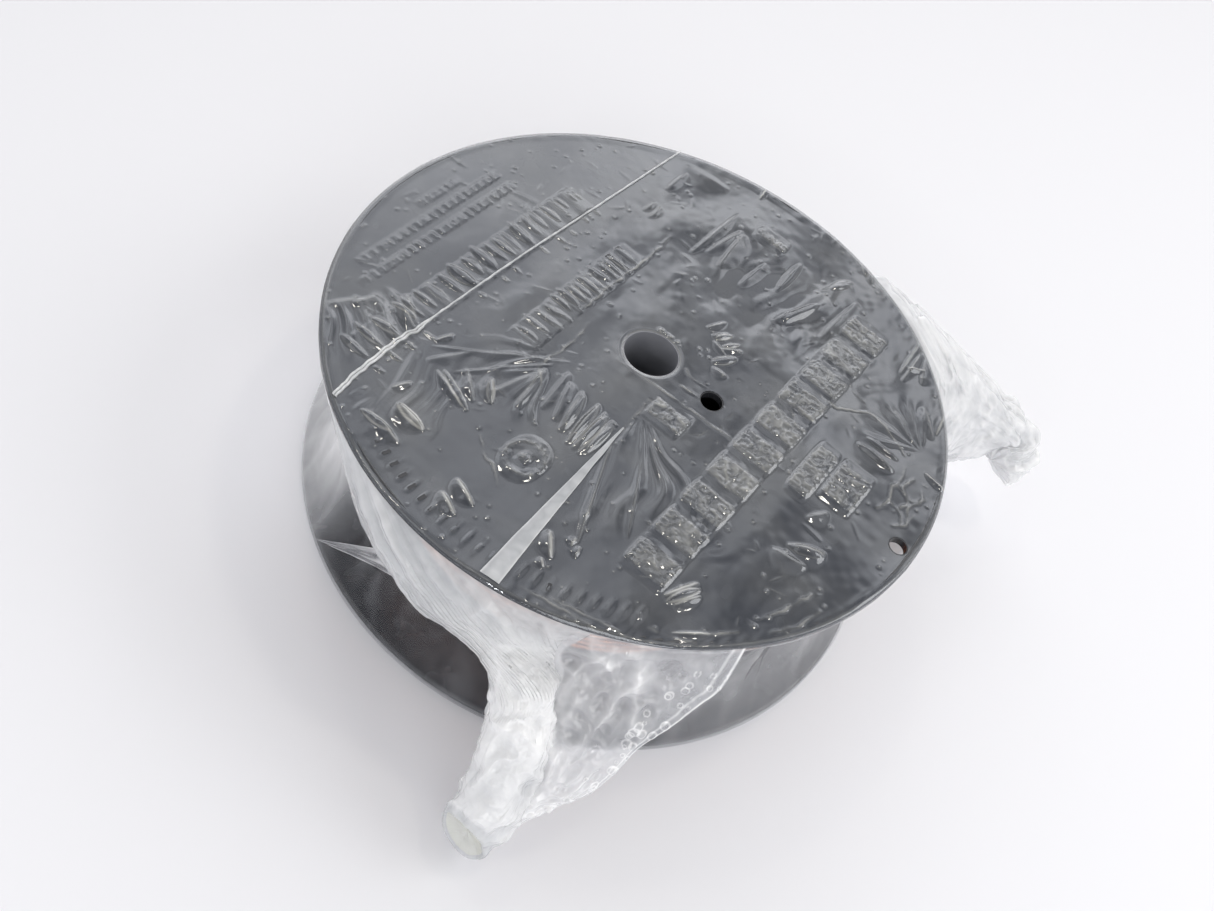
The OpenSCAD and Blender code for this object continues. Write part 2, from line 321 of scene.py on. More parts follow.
def disc_grid(radius, holes, cell):
    """A square grid cut to a disc with round holes, its edge points moved onto the circles."""
    half = int(math.ceil(radius / cell)) + 1
    line = np.arange(-half, half + 1) * cell
    x, y = np.meshgrid(line, line, indexing="ij")
    inside = np.hypot(x, y) < radius + 0.5 * cell
    for hx, hy, hr in holes:
        inside &= np.hypot(x - hx, y - hy) > hr - 0.5 * cell
    n = len(line)
    corners = np.stack([inside[:-1, :-1], inside[1:, :-1], inside[1:, 1:], inside[:-1, 1:]])
    kept = corners.all(0)
    uses = np.zeros((n, n), int)
    for di, dj in ((0, 0), (1, 0), (1, 1), (0, 1)):
        uses[di:n - 1 + di, dj:n - 1 + dj] += kept
    edge = (uses > 0) & (uses < 4)
    for cx, cy, cr in [(0, 0, radius), *holes]:
        distance = np.hypot(x - cx, y - cy)
        near = edge & (np.abs(distance - cr) < 2 * cell)
        x[near] = cx + (x - cx)[near] * cr / distance[near]
        y[near] = cy + (y - cy)[near] * cr / distance[near]
    i, j = np.nonzero(kept)
    quads = np.stack([i * n + j, (i + 1) * n + j, (i + 1) * n + j + 1, i * n + j + 1], -1)
    used, renumbered = np.unique(quads, return_inverse=True)
    return x, y, used, renumbered.reshape(-1, 4)


def smooth_path(points, count):
    """Points along a Catmull-Rom curve through the given ones, or along one curve for each column."""
    p = np.array(points, float)
    last = len(p) - 1
    p = np.concatenate([2 * p[:1] - p[1:2], p, 2 * p[-1:] - p[-2:-1]])
    t = np.linspace(0, last - 1e-9, count)
    i = t.astype(int)
    f = (t - i).reshape(-1, *[1] * (p.ndim - 1))
    a, b, c, d = p[i], p[i + 1], p[i + 2], p[i + 3]
    return 0.5 * (2 * b + (c - a) * f + (2 * a - 5 * b + 4 * c - d) * f**2 + (3 * b - a - 3 * c + d) * f**3)


# ---- Film over the top flange ----

CELL = 0.45  # of the grid that the film over the plate is made of

# Single folds: place, direction in degrees, length, width, height, whiteness of the crest (a painted
# highlight)
FOLDS = [
    # along the seam's direction, behind the bore
    (-51.7, 90, 92, 17, 1.5, 0.8, 0.1), (-50, 67, 88, 9, 0.9, 0.6, 0.1), (-46, 66, 92, 10, 0.9, 0.6, 0.1),
    (-21.7, 78, 89, 38, 1.2, 0.9, 0.1), (-16, 77, 82, 24, 1.6, 0.8, 0.1), (-11, 75, 97, 26, 2.4, 0.9, 0.1),
    (3, 71, 86, 22, 1.6, 0.6, 0.0), (27, 67, 72, 24, 1.6, 0.7, 0.0), (43, 80, 88, 32, 1.6, 0.8, 0.03),
    (33, 96, 60, 16, 3.0, 0.6, 0.0), (-44, 105, 10, 22, 4.0, 0.5, 0.0),
    # right of the pads, near the rear tail
    (76, 88, 95, 24, 1.3, 0.9, 0.25), (79, 84, 93, 22, 1.2, 0.8, 0.2), (84, 86, 110, 16, 1.8, 0.7, 0.1),
    (99, 62, -48, 16, 1.6, 0.8, 0.1), (103, 65, -80, 12, 0.9, 0.6, 0.5), (91, 29, -4, 18, 1.7, 0.9, 0.1),
    # in front of the bore, beside the strip
    (2.5, -48, 96, 24, 1.3, 1.0, 0.2), (6, -48.5, 93, 23, 1.0, 1.0, 0.2), (9.5, -49, 90, 22, 1.2, 1.0, 0.2),
    (-4, -47, 104, 22, 1.6, 0.8, 0.05), (-9, -46, 110, 20, 1.8, 0.8, 0.05),
    (-14, -44, 100, 22, 1.6, 0.7, 0.05), (24, -68, -68, 50, 0.9, 0.7, 0.22),
    (36, -60, -62, 34, 0.8, 0.5, 0.15),
    # in front of the left bars
    (-38, -46, 42, 52, 1.0, 0.5, 0.08), (-33, -50, 55, 40, 0.9, 0.6, 0.1),
    (-26, -52, 75, 26, 1.6, 0.8, 0.1), (-21, -50, 100, 24, 1.3, 0.8, 0.2), (-29, -62, -52, 12, 1.5, 1.0, 0.4),
    (-40, -73, -19, 18, 1.0, 0.8, 0.4), (-36, -66, -40, 16, 1.2, 0.8, 0.2), (-50, -62, 62, 18, 1.4, 0.5, 0.1),
    # short dashes near the front rim, painted pale as bright glints
    (-40, -93, -8, 13, 1.9, 1.3, 0.5), (-41, -103, -12, 12, 1.4, 0.9, 0.3), (-52, -85, 70, 8, 1.0, 0.7, 0.3),
    (-7, -102, -22, 12, 1.7, 1.3, 0.65), (-8, -109.5, -24, 10, 1.5, 1.2, 0.6),
    (26.5, -96.5, -50, 11, 1.6, 1.2, 0.6), (29, -104, -40, 4, 1.0, 0.8, 0.5),
    (31.5, -90, -80, 4, 0.9, 0.8, 0.5), (35, -92, -75, 5, 0.9, 0.7, 0.3),
    (69, -77, 66, 14, 1.4, 1.2, 0.6), (73, -79, 64, 11, 0.9, 0.8, 0.5),
    (81, -88, 42, 14, 0.7, 0.6, 0.5), (94, -28, 28, 12, 2.4, 1.1, 0.3), (90, -37, 12, 14, 2.6, 0.8, 0.1),
    (88, -13, 60, 10, 1.6, 0.7, 0.1),
    # left of the seam at the front
    (-74, -56, -32, 15, 1.3, 0.8, 0.2), (-72, -60, -24, 12, 1.0, 0.6, 0.2), (-88, -66, 75, 10, 1.6, 0.5, 0.1),
    (-92, -72, 60, 14, 1.8, 0.5, 0.1), (-57, -57, 70, 8, 0.9, 0.8, 0.4),
    # small rings by the bore
    (9, 34, 68, 10, 0.8, 0.7, 0.3), (13, 31, 60, 8, 0.9, 0.7, 0.2), (21, 28, 40, 9, 0.8, 0.8, 0.4),
    (24, 14.5, 5, 7, 1.2, 0.5, 0.2), (17, 25, -20, 8, 0.8, 0.6, 0.3),
    # creases over the rim
    (-21.5, 119, 100, 9, 0.6, 0.7, 0.9), (115, 38, -8, 11, 0.6, 0.8, 0.9), (81, 84, 40, 8, 0.7, 0.7, 0.6),
]

# Soft folds that spread from an apex: place, first and last direction, nearest and farthest reach,
# number of folds, height, whiteness of their crests (a painted highlight)
RIPPLES = [
    (104, 47, 96, 232, 0, 31, 5, 0.9, 0.10), (14, -24, -84, -26, 2, 68, 4, 0.8, 0.08),
    (-26, -31, 200, 262, 0, 48, 3, 0.6, 0.05), (-21, -37, 232, 300, 0, 32, 4, 0.8, 0.10),
    (-150, -45, -36, -8, 62, 94, 5, 0.7, 0.06), (10, -62, 68, 101, 112, 164, 6, 0.7, 0.02),
    (62, -82, 74, 104, 126, 172, 5, 0.55, 0.02), (-20, -180, 96, 112, 80, 128, 4, 0.4, 0.02),
    (60, -70, 40, 110, 8, 34, 3, 0.35, 0.0), (-95, 20, -60, 60, 3, 20, 3, 0.15, 0.0),
]

# Thin raised crease lines, painted pale along them as a highlight, each through a few points
CREASES = [
    [(-32.5, 60), (-31.8, 40), (-32.2, 20), (-31.9, -3)],
    [(47.5, 36), (58, 36.5), (66, 37.5), (72, 42), (80, 46.5), (92, 43), (100, 39)],
    [(-26, -8), (-24, -20), (-25, -38), (-19, -46), (-16, -53)],
    [(-19, -80), (-13, -85), (-7, -87), (-1, -92)],
    [(13.4, -20), (13.8, -30), (14.4, -41), (15.2, -48)],
    [(13.4, -20), (22, -17.5), (31, -19)], [(-7, -13.5), (6, -12.5), (22, -11), (47, -9)],
    [(17, -4.5), (25.5, -3)], [(14, 4.5), (19, 2.5), (25, 3.5)],
    [(102, 34), (104, 26), (102.5, 22), (105, 15), (103.5, 8)],
    [(108, 32), (106.5, 25), (111, 20), (109, 12)],
    [(113, 30), (115, 24), (112.5, 18), (115.5, 11), (112, 6)],
    [(102.5, 22), (106.5, 25), (112, 22), (116, 27)], [(105, 15), (111, 14), (114, 9)],
    [(60, -30), (51, -29)], [(50, -21), (57, -28), (64, -24)], [(96, -66), (101, -54), (104, -44)],
    [(76, -92), (85, -85), (93, -76)], [(70, -97), (78, -93), (84, -90)],
    [(101, -68), (107, -58), (110, -47)], [(40, -112), (52, -109), (66, -105)],
    [(30, -116), (44, -113), (60, -110)],
]

# Blisters in rows along Y: x, then (y, length, width) of each
ROWS = [
    (-73.8, [(45.5, 5, 1.6), (42.6, 6, 1.8), (36, 8, 2.6), (33, 9, 2.2), (26.8, 12, 3.4), (20, 12, 3.6),
             (15.2, 13, 3.0), (8, 15, 5.2), (1.5, 12, 3.4), (-3.2, 13, 2.8), (-8, 12, 3.0), (-14.5, 15, 5.6),
             (-21.5, 12, 3.6), (-28, 15, 5.8), (-35, 13, 4.2), (-42.5, 13, 3.8), (-48.5, 12, 3.0)]),
    (-38.7, [(34, 12, 3.2), (27.5, 10, 2.4), (24.4, 12, 2.6), (20.5, 10, 3.0), (16.5, 11, 3.2),
             (12.2, 12, 3.6), (8, 12, 3.4), (4, 11, 3.0), (0.2, 11, 3.0), (-4.2, 12, 3.2), (-8.4, 11, 2.8),
             (-13.5, 9, 2.8), (-18.5, 13, 2.6), (-24.5, 13, 2.8), (-31, 10, 2.4)]),
    (-75, [(-55, 14, 2.2), (-59, 12, 2.0), (-70, 14, 2.8), (-77, 15, 2.6), (-85, 14, 3.0)]),
    (-61.8, [(44, 4, 1.2), (36, 4, 1.1), (27, 4, 1.2), (19, 5, 1.4), (9, 5, 1.2), (-9, 5, 1.4), (-16, 4, 1.2),
             (-30, 5, 2.2), (-61, 6, 1.6), (-69, 5, 1.8), (-77, 6, 1.8), (-86, 5, 1.6)]),
]

# Single blisters: place, direction, length, width, height and whiteness of the outline (a painted highlight)
BLISTERS = [
    (3.2, -48, 97, 21, 3.8, 1.0, 0.2), (7.6, -48.5, 93, 21, 3.6, 1.1, 0.25),
    (11.4, -49, 90, 18, 2.4, 0.8, 0.2), (-2.5, -47, 103, 20, 3.2, 0.8, 0.1),
    (-40.5, -93, -8, 14, 3.8, 1.0, 0.75), (-47, -103, 4, 14, 3.0, 0.9, 0.4),
    (-38, -72, -22, 20, 2.6, 0.8, 0.4), (15, 84, 93, 24, 4.6, 0.9, 0.05), (30, 70, 76, 22, 4.4, 0.9, 0.05),
    (33.5, 99, 70, 13, 5.0, 0.8, 0.1), (91, 34.5, 2, 15, 3.0, 0.9, 0.1), (91, 28.5, -3, 17, 3.4, 0.9, 0.1),
    (93, -30, 24, 14, 4.4, 0.8, 0.15), (71, -78.5, 65, 14, 2.6, 1.1, 0.5), (22, 21, 60, 12, 4.0, 0.7, 0.3),
    (15, 31, 62, 9, 2.0, 0.7, 0.4), (19.5, 29.5, 58, 8, 1.8, 0.7, 0.4), (-29, -63, -50, 11, 2.6, 0.8, 0.3),
    (36, 118, -52, 9, 2.6, 0.8, 0.2), (40, 115, -52, 8, 2.2, 0.8, 0.1),
]


class Relief:
    """Height of the film over the plate, and its whiteness with the painted highlights on its folds, on a
    grid of CELL.
    """

    def __init__(self, x, y):
        self.x, self.y = x, y
        self.line = np.arange(x.shape[0]) * CELL
        self.start = -self.line[-1] / 2
        self.height = np.zeros(x.shape)
        self.milk_and_highlight = np.zeros(x.shape)

    def window(self, x, y, reach):
        low = np.array([x - reach, y - reach]) - self.start
        high = np.array([x + reach, y + reach]) - self.start
        i0, j0 = np.clip((low / CELL).astype(int), 0, len(self.line))
        i1, j1 = np.clip((high / CELL).astype(int) + 2, 0, len(self.line))
        return slice(i0, i1), slice(j0, j1)

    def turned(self, part, x, y, degrees):
        """Distances from (x, y) along a direction and across it."""
        c, s = math.cos(math.radians(degrees)), math.sin(math.radians(degrees))
        dx, dy = self.x[part] - x, self.y[part] - y
        return dx * c + dy * s, dy * c - dx * s

    def fold(self, x, y, degrees, length, width, height, milk_and_highlight):
        """A lens-shaped fold with a sharp crest and one steep side; its crest is painted pale as a highlight.
        """
        part = self.window(x, y, length / 2 + 3 * width)
        u, v = self.turned(part, x, y, degrees)
        along = np.clip(1 - (2 * u / length)**2, 0, 1)
        lean = np.where(v > 0, 0.4, 2.2)
        profile = bell(v, width * lean * (0.35 + 0.65 * along))
        self.height[part] += height * along**0.6 * profile
        self.milk_and_highlight[part] += milk_and_highlight * np.sqrt(along) * bell(v, 0.45 * width)

    def ripples(self, x, y, start, end, near, far, count, height, milk_and_highlight):
        """Soft folds side by side that spread from (x, y), with a painted highlight along their crests."""
        part = self.window(x, y, far)
        dx, dy = self.x[part] - x, self.y[part] - y
        d = np.hypot(dx, dy)
        turn = (np.degrees(np.arctan2(dy, dx)) - start) % 360 / (end - start)
        turn = turn + 0.5 / count * noise(stacked(turn * 2.2, d / 17, 0), count)
        wave = (0.5 - 0.5 * np.cos(2 * math.pi * count * turn))**1.3
        wave *= 0.65 + 0.5 * noise(stacked(turn * count * 0.8, d / 30, 0), count + 3)
        reach = far - near
        amount = between(turn, 0.14, 0.86, 0.14) * smooth_step((d - near) / (0.3 * reach))
        amount = amount * smooth_step((far - d) / (0.45 * reach))
        self.height[part] += height * wave * amount
        self.milk_and_highlight[part] += milk_and_highlight * np.clip(wave - 0.5, 0, 1) * amount

    def blister(self, x, y, degrees, length, width, height, milk_and_highlight, bow=0.0):
        """A lens-shaped blister with pointed ends and a crisp outline, painted pale as a highlight."""
        part = self.window(x, y, length / 2 + 2 * width)
        u, v = self.turned(part, x, y, degrees)
        along = np.clip(1 - (2 * u / length)**2, 0, 1)
        v = v - bow * along
        half = 0.5 * width * along**0.7 + 0.01
        dome = np.clip(1 - (v / half)**2, 0, 1)**0.75
        self.height[part] += height * np.sqrt(along) * dome
        self.milk_and_highlight[part] += milk_and_highlight * np.sqrt(along) * bell(np.abs(v) - half, 0.38)

    def crease(self, points, width, height, milk_and_highlight):
        """A thin raised line along a curve through points, a little uneven, painted pale as a highlight."""
        ends = np.array(points, float)
        length = np.hypot(*np.diff(ends, axis=0).T).sum()
        line = smooth_path(np.column_stack([ends, 0 * ends[:, 0]]), max(6, int(length / CELL)))
        line[:, 0] += 0.5 * noise(line / 2.7, 5)
        line[:, 1] += 0.5 * noise(line / 2.7, 6)
        taper = np.sin(np.linspace(0.15, math.pi - 0.15, len(line)))**0.5
        strength = (0.6 + 0.55 * noise(line / 3.5, 7)) * taper
        centre = ends.mean(0)
        part = self.window(*centre, np.abs(ends - centre).max() + 2.5)
        best = np.zeros(self.x[part].shape)
        for (px, py, _), amount in zip(line, strength):
            near = amount * np.exp(-((self.x[part] - px)**2 + (self.y[part] - py)**2) / width**2)
            best = np.maximum(best, near)
        self.height[part] += height * best
        self.milk_and_highlight[part] += milk_and_highlight * best

    def bubble(self, x, y, radius, height):
        """A small round swelling with a painted highlight in its middle."""
        part = self.window(x, y, 2 * radius)
        d = np.hypot(self.x[part] - x, self.y[part] - y) / radius
        self.height[part] += height * np.exp(-d**2 * 1.5)
        self.milk_and_highlight[part] += 0.30 * np.exp(-d**2 * 3)


def plate_heights(x, y, used):
    """Height of what stands on the plate under each grid point, found by rays from above."""
    depsgraph = bpy.context.evaluated_depsgraph_get()
    trees = [BVHTree.FromObject(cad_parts[n], depsgraph) for n in ("top_flange", "hub_tube")]
    above, down = 10, Vector((0, 0, -1))
    out = np.zeros(x.size)
    for index in used:
        start = Vector((x.flat[index] * MM, y.flat[index] * MM, (SPOOL_W + above) * MM))
        for tree in trees:
            hit = tree.ray_cast(start, down, 2 * above * MM)[0]
            if hit is not None:
                out[index] = max(out[index], hit.z / MM - PLATE_Z)
    return np.clip(out, 0, MARK_H).reshape(x.shape)


def blurred(values, passes):
    for _ in range(passes):
        for axis in (0, 1):
            near = np.roll(values, 1, axis) + np.roll(values, -1, axis)
            values = 0.5 * values + 0.25 * near
    return values


def draped_over(stands, flat):
    """Height of the film over what stands on the plate, before its folds."""
    x, r = flat[..., 0], np.hypot(flat[..., 0], flat[..., 1])
    # It sags a little into the narrow gaps between the marks
    sagging = stands
    for step in range(1, 8):
        near = np.maximum(np.roll(stands, step, 1), np.roll(stands, -step, 1))
        sagging = np.maximum(sagging, near - 0.045 * step)
    share = 0.70 + 0.35 * noise(flat / 6, 29)
    share -= 0.5 * smooth_step((-x - 78) / 6) * np.clip(noise(flat / [6.0, 3.1, 1], 61) + 0.3, 0, 1)
    # It shows the marks less on the left and near the rim
    shown = lerp(0.55, 1.0, smooth_step((x + 30) / 10)) * lerp(1.0, 0.5, smooth_step((r - 106) / 4))
    draped = np.maximum(blurred(stands, 2), blurred(sagging, 2) * share) * shown
    # It runs down from the hub's end to the plate over a long slope
    draped = np.maximum(draped, MARK_H * smooth_step((34 - r) / 19))
    return lerp(draped, blurred(draped, 6), smooth_step((r - FLANGE_R + 7) / 3))


def wrinkles(x, y):
    """Every fold, ripple, blister, crease and bubble of the film over the plate."""
    relief = Relief(x, y)
    for fold in FOLDS:
        relief.fold(*fold)
    for ripple in RIPPLES:
        relief.ripples(*ripple)
    rng = np.random.default_rng(11)
    for row_x, blisters in ROWS:
        for row_y, length, width in blisters:
            lean, shift = rng.normal(0, 4), rng.normal(0, 0.6)
            # Each blister's height comes from its place, so that it stays when others are added
            tall = np.random.default_rng(int(row_y * 10) + 900).uniform(0.25, 1.15)
            relief.blister(row_x + shift, row_y, lean, length, width, (0.35 + 0.12 * width) * tall,
                           rng.uniform(0.08, 0.3), bow=rng.normal(0, 0.6))
    for blister in BLISTERS:
        relief.blister(*blister)
    for points in CREASES:
        relief.crease(points, 0.5, 0.34, 0.42)

    def anywhere(low, high):
        a, d = rng.uniform(0, 2 * math.pi), FLANGE_R * math.sqrt(rng.uniform(low, high))
        return d * math.cos(a), d * math.sin(a)

    for _ in range(420):
        relief.bubble(*anywhere(0.02, 0.98), rng.uniform(0.45, 0.8), rng.uniform(0.1, 0.5)**1.3)
    for _ in range(150):
        relief.fold(*anywhere(0.05, 0.95), rng.uniform(0, 180), rng.uniform(2.5, 10), 0.5,
                    rng.uniform(0.03, 0.13), rng.uniform(0.0, 0.16))
    # Beads of air along the bore's edge
    for _ in range(16):
        a = math.radians(rng.uniform(60, 118))
        d = BORE_OPEN + rng.uniform(0.6, 2.4)
        relief.bubble(d * math.cos(a), d * math.sin(a), rng.uniform(0.4, 0.8), rng.uniform(0.3, 0.6))
    return relief


def top_film(material):
    holes = [(0, 0, BORE_OPEN), (DRIVE_AT, 0, DRIVE_OPEN), (RIM_HOLE_AT, 0, RIM_HOLE_OPEN)]
    x, y, used, faces = disc_grid(RIM_R, holes, CELL)
    flat = stacked(x, y, 0.0)
    r = np.hypot(x, y)
    stands = plate_heights(x, y, used)
    draped = draped_over(stands, flat)
    relief = wrinkles(x, y)

    on_marks = np.clip(blurred(stands, 1) / MARK_H, 0, 1) * between(r, 20, 112, 3)
    on_marks *= 0.12 + 0.88 * smooth_step((x + 20) / 20)
    crumple = creased(flat * [0.8, 1, 1] + 0.6 * noise(flat / 5, 33)[..., None], 2.3, 2, 31)
    cracked = creased(flat * [1, 0.8, 1] + 0.5 * noise(flat / 4, 34)[..., None], 7.5, 1, 36)
    cracks = smooth_step((cracked - 0.72) / 0.3)
    grease = fractal(flat * [0.6, 1, 1], 3.4, 2, 37)
    # The film lies quite flat left of the seam, and slack behind the bore and beside the rear end
    slack = 0.35 + 0.65 * smooth_step((x + 62) / 12) + 0.5 * between(x, -20, 60, 15) * between(y, 35, 95, 15)
    slack *= 1 - 0.6 * smooth_step((-x - 80) / 20)
    waves = 0.5 * noise(flat * [1.0, 0.6, 1] / 19, 3) + 0.17 * noise(flat * [1.0, 0.55, 1] / 8.5, 8)
    waves += 0.03 * noise(flat / 3.2, 9)
    height = draped + blurred(relief.height, 1) + slack * waves + on_marks * (0.12 * crumple - 0.16 * cracks)
    rim = smooth_step((r - (FLANGE_R - 1.2)) / 1.2)
    hole = 1 - smooth_step((r - BORE_OPEN) / 1.2)
    height = 0.22 + (height + 0.30) * (1 - 0.75 * rim) * (1 - 0.25 * hole) + 0.12 * rim
    z = PLATE_Z + np.clip(height, 0.05, 2.6) - 0.9 * np.clip((r - (FLANGE_R - 0.4)) / 0.85, 0, 1)**2

    # Painted highlights: the edges of the marks, the crests of the crumpled film on them, a ring at the
    # bore's edge that is partly the film's bead, and a line just inside the rim are made paler.
    edges = np.abs(draped - blurred(draped, 6)) * smooth_step((x - 10) / 20)
    milk_and_highlight = relief.milk_and_highlight + 0.35 * edges
    milk_and_highlight += on_marks * (0.10 + 0.16 * np.clip(crumple - 0.3, 0, 1) + 0.07 * grease - 0.12 * cracks)
    milk_and_highlight -= 0.06 * np.clip(draped - blurred(stands, 1), 0, 0.5) * (x > 20)
    milk_and_highlight += 0.25 * bell(r - BORE_OPEN, 0.5) + 0.14 * bell(r - FLANGE_R + 0.8, 0.4)
    milk_and_highlight += 0.05 * fractal(flat, 22, 2, 17) + 0.03
    points = stacked(x, y, z).reshape(-1, 3)[used]
    piece = new_piece("top_film", points, faces, material, milk_and_highlight.reshape(-1)[used])
    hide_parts("film_top")


# ---- Film round the side and below ----


def wall_r(z):
    """How far out the bag's wall lies at height z: on the rims, and drawn in between them."""
    share = np.clip((z - LIP) / (SPOOL_W - 2 * LIP), 0, 1)
    return RIM_R - DRAWN_IN * np.sin(math.pi * share)


# How milky the side film is, as (azimuth, milkiness): clear where the photo shows the lower flange
# Besides the film's haze, these values paint the grey sheen that the glossy lower flange shows through the
# film, on the left and across the lower flange's face.
HAZE_AND_SHEEN = [
    (0, 0.55), (20, 0.55), (90, 0.5), (180, 0.7), (205, 1.15), (235, 1.0), (243, 0.4), (250, 0.11),
    (285, 0.14), (298, 0.20), (315, 0.46), (340, 0.50), (360, 0.55),
]


def side_film(material):
    rows, columns = 72, 760
    z = np.linspace(FILM_LOW + 0.05, PLATE_Z + 0.2, rows)[:, None]
    azimuth = (np.arange(columns) * 360 / columns)[None, :]
    z, azimuth = np.broadcast_arrays(z, azimuth)
    loose = np.sin(math.pi * np.clip((z - LIP) / (SPOOL_W - 2 * LIP), 0, 1))
    ring = polar(40.0, azimuth, z * 0.35)
    pulls = creased(ring * [1, 1, 0.25], 4.6, 2, 41) - 0.2
    slack = fractal(ring, 16, 2, 43)
    r = wall_r(z) + loose * (1.1 * pulls + 1.6 * slack) + 0.12 * pulls * (1 - loose)
    r = np.where((z > LIP) & (z < SPOOL_W - LIP), r, np.maximum(r, RIM_R - 0.05))
    r = np.minimum(r, RIM_R + 0.25)
    # Low and high edges turn over the rims
    r -= 0.2 * smooth_step((z - PLATE_Z + 0.5) / 0.7) + 0.4 * smooth_step((FILM_LOW + 0.6 - z) / 0.6)
    milk_and_highlight = np.interp(azimuth, *zip(*HAZE_AND_SHEEN)) * (1 + 0.2 * slack) + 0.16 * np.clip(pulls - 0.2, 0, 1)
    milk_and_highlight = milk_and_highlight * (0.55 + 0.45 * smooth_step(z / 60)) - 0.05
    # Painted highlight: pale lines where the film turns over the two rims.
    milk_and_highlight += 0.2 * (bell(z - SPOOL_W + LIP, 1.2) + bell(z - LIP, 1.0)) * (0.5 + 0.5 * slack)
    milk_and_highlight *= 1 - 0.8 * smooth_step((z - PLATE_Z + 2.2) / 1.2)
    piece = grid_piece("side_film", polar(r, azimuth, z), material, milk_and_highlight, closed=True)
    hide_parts("film_side_upper", "film_side_lower")


def bottom_film(material):
    x, y, used, faces = disc_grid(RIM_R, [(0, 0, BORE_OPEN)], 1.5)
    flat = stacked(x, y, 0.0)
    puckers = creased(flat, 12, 3, 51) * smooth_step((FLANGE_R - 4 - np.hypot(x, y)) / 20)
    z = FILM_LOW + 0.02 + np.clip(0.12 + 0.10 * puckers, 0, 0.3)
    milk_and_highlight = 0.3 + 0.25 * puckers + 0.1 * fractal(flat, 30, 2, 53)
    points = stacked(x, y, z).reshape(-1, 3)[used]
    piece = new_piece("bottom_film", points, faces[:, ::-1], material, milk_and_highlight.reshape(-1)[used])
    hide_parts("film_bottom")


# ---- Gathered film in front ----


UP = np.array([0.15, 0.1, 1.0])  # which way a gather's own sides are counted from


def path_frames(path, up):
    """Two unit vectors square to a path at each of its points."""
    t = np.gradient(path, axis=0)
    t /= np.linalg.norm(t, axis=1, keepdims=True)
    side = np.cross(t, up)
    side /= np.linalg.norm(side, axis=1, keepdims=True)
    return side, np.cross(side, t)


def rings(path, up, a, squash=1.0):
    """A ring of unit vectors at the angles a, square to a path, for each of its points."""
    side, over = path_frames(path, up)
    return np.cos(a)[:, None] * side[:, None] + np.sin(a)[:, None] * over[:, None] * squash


def round_angles(columns):
    return np.arange(columns) * 2 * math.pi / columns


def billows(points, cell, octaves, seed):
    """Noise with rounded swellings and sharp valleys, as in gathered film: about -0.5 to 1."""
    return sum((2.2 * np.abs(noise(points / cell * 2**o, seed + o)) - 0.5) / 2**o for o in range(octaves))


def gathered_tube(path, radii, squash, a, seed, twist):
    """Points of a bunched tube of film: soft lengthwise gathers with a few sharp valleys."""
    steps = np.linalg.norm(np.diff(path, axis=0), axis=1)
    along = np.concatenate([[0], np.cumsum(steps)])[:, None]
    ring = rings(path, UP, a, squash)
    wound = a + twist * along
    lengthwise = billows(stacked(np.cos(wound) * 1.9, np.sin(wound) * 1.9, along / 34), 1.0, 2, seed)
    base = path[:, None] + ring * radii[:, None, None]
    lumps = noise(base / 13, seed + 5)
    pleats = billows(base * [1, 1, 1.3], 9.0, 2, seed + 9)
    fine = creased(base, 4.0, 2, seed + 13)
    bulge = 0.13 * lengthwise + 0.10 * lumps + 0.035 * pleats + 0.006 * fine
    points = base + ring * (radii[:, None] * bulge)[..., None]
    return points, pleats, fine


# x, y, z and radius of the gathered mouth, from under the rim to its blunt end
MOUTH_PATH = [
    (45.5, -117.5, 78, 6), (45.0, -120, 70, 9), (46.5, -122.5, 61, 10.6), (50.5, -127, 51, 11.4),
    (55.3, -133, 43, 12.0), (59.3, -139, 35, 12.3), (62.3, -146, 27, 12.0), (63.3, -154, 19, 11.3),
    (62.5, -161, 13.5, 10.4), (61.0, -167.5, 10.5, 9.2),
]

# The gather's left edge as the photo has it: how far along each place is, and its x, y and z
GATHER_EDGE = [
    (0.22, (-31.8, -125.7, 73.4)), (0.45, (-5.3, -128.9, 57.4)), (0.60, (10.4, -123.6, 48.9)),
    (0.80, (29.2, -125.3, 52.0)),
]

# Columns of the gather's closed skin: on its outer side, and back again on the side towards the spool
OUTER, INNER = 340, 110


def both_sides(start, turn, end):
    """Values that run from start to turn over the outer columns, and on to end over the inner ones."""
    return np.concatenate([np.linspace(start, turn, OUTER), np.linspace(turn, end, INNER + 2)[1:-1]])


def mouth_guides(line, u, under):
    """The lines that the mouth's film follows, from the top rim to the bunch's cut end."""
    sweep = both_sides(-0.06, 1.06, 1.94) * math.pi
    across, upward = np.cos(sweep), 0.88 * np.sin(sweep)
    side, over = path_frames(line[:, :3], UP)

    def on_bunch(share):
        last = len(line) - 1
        at = np.clip(share * last, 0, last).astype(int)
        return line[at, :3] + (across[:, None] * side[at] + upward[:, None] * over[at]) * line[at, 3:4]

    rim = polar(RIM_R + 0.45 - 0.3 * under, lerp(*MOUTH_ROOT, u), PLATE_Z + 0.1 - 3.2 * under)
    join = lerp(0.36, 0.20, u**0.8)
    meets = on_bunch(join)
    guides = [rim]
    for share, place in GATHER_EDGE:
        edge = np.array(place) - lerp(rim[0], meets[0], share)
        guides.append(lerp(rim, meets, share) + edge * np.exp(-(u / 0.30)**1.3)[:, None])
    # The bunch is cut aslant, so that its end faces up
    cut = 0.905 - 0.09 * upward / 0.88
    return guides + [on_bunch(lerp(join, cut, k / 6)) for k in range(7)]


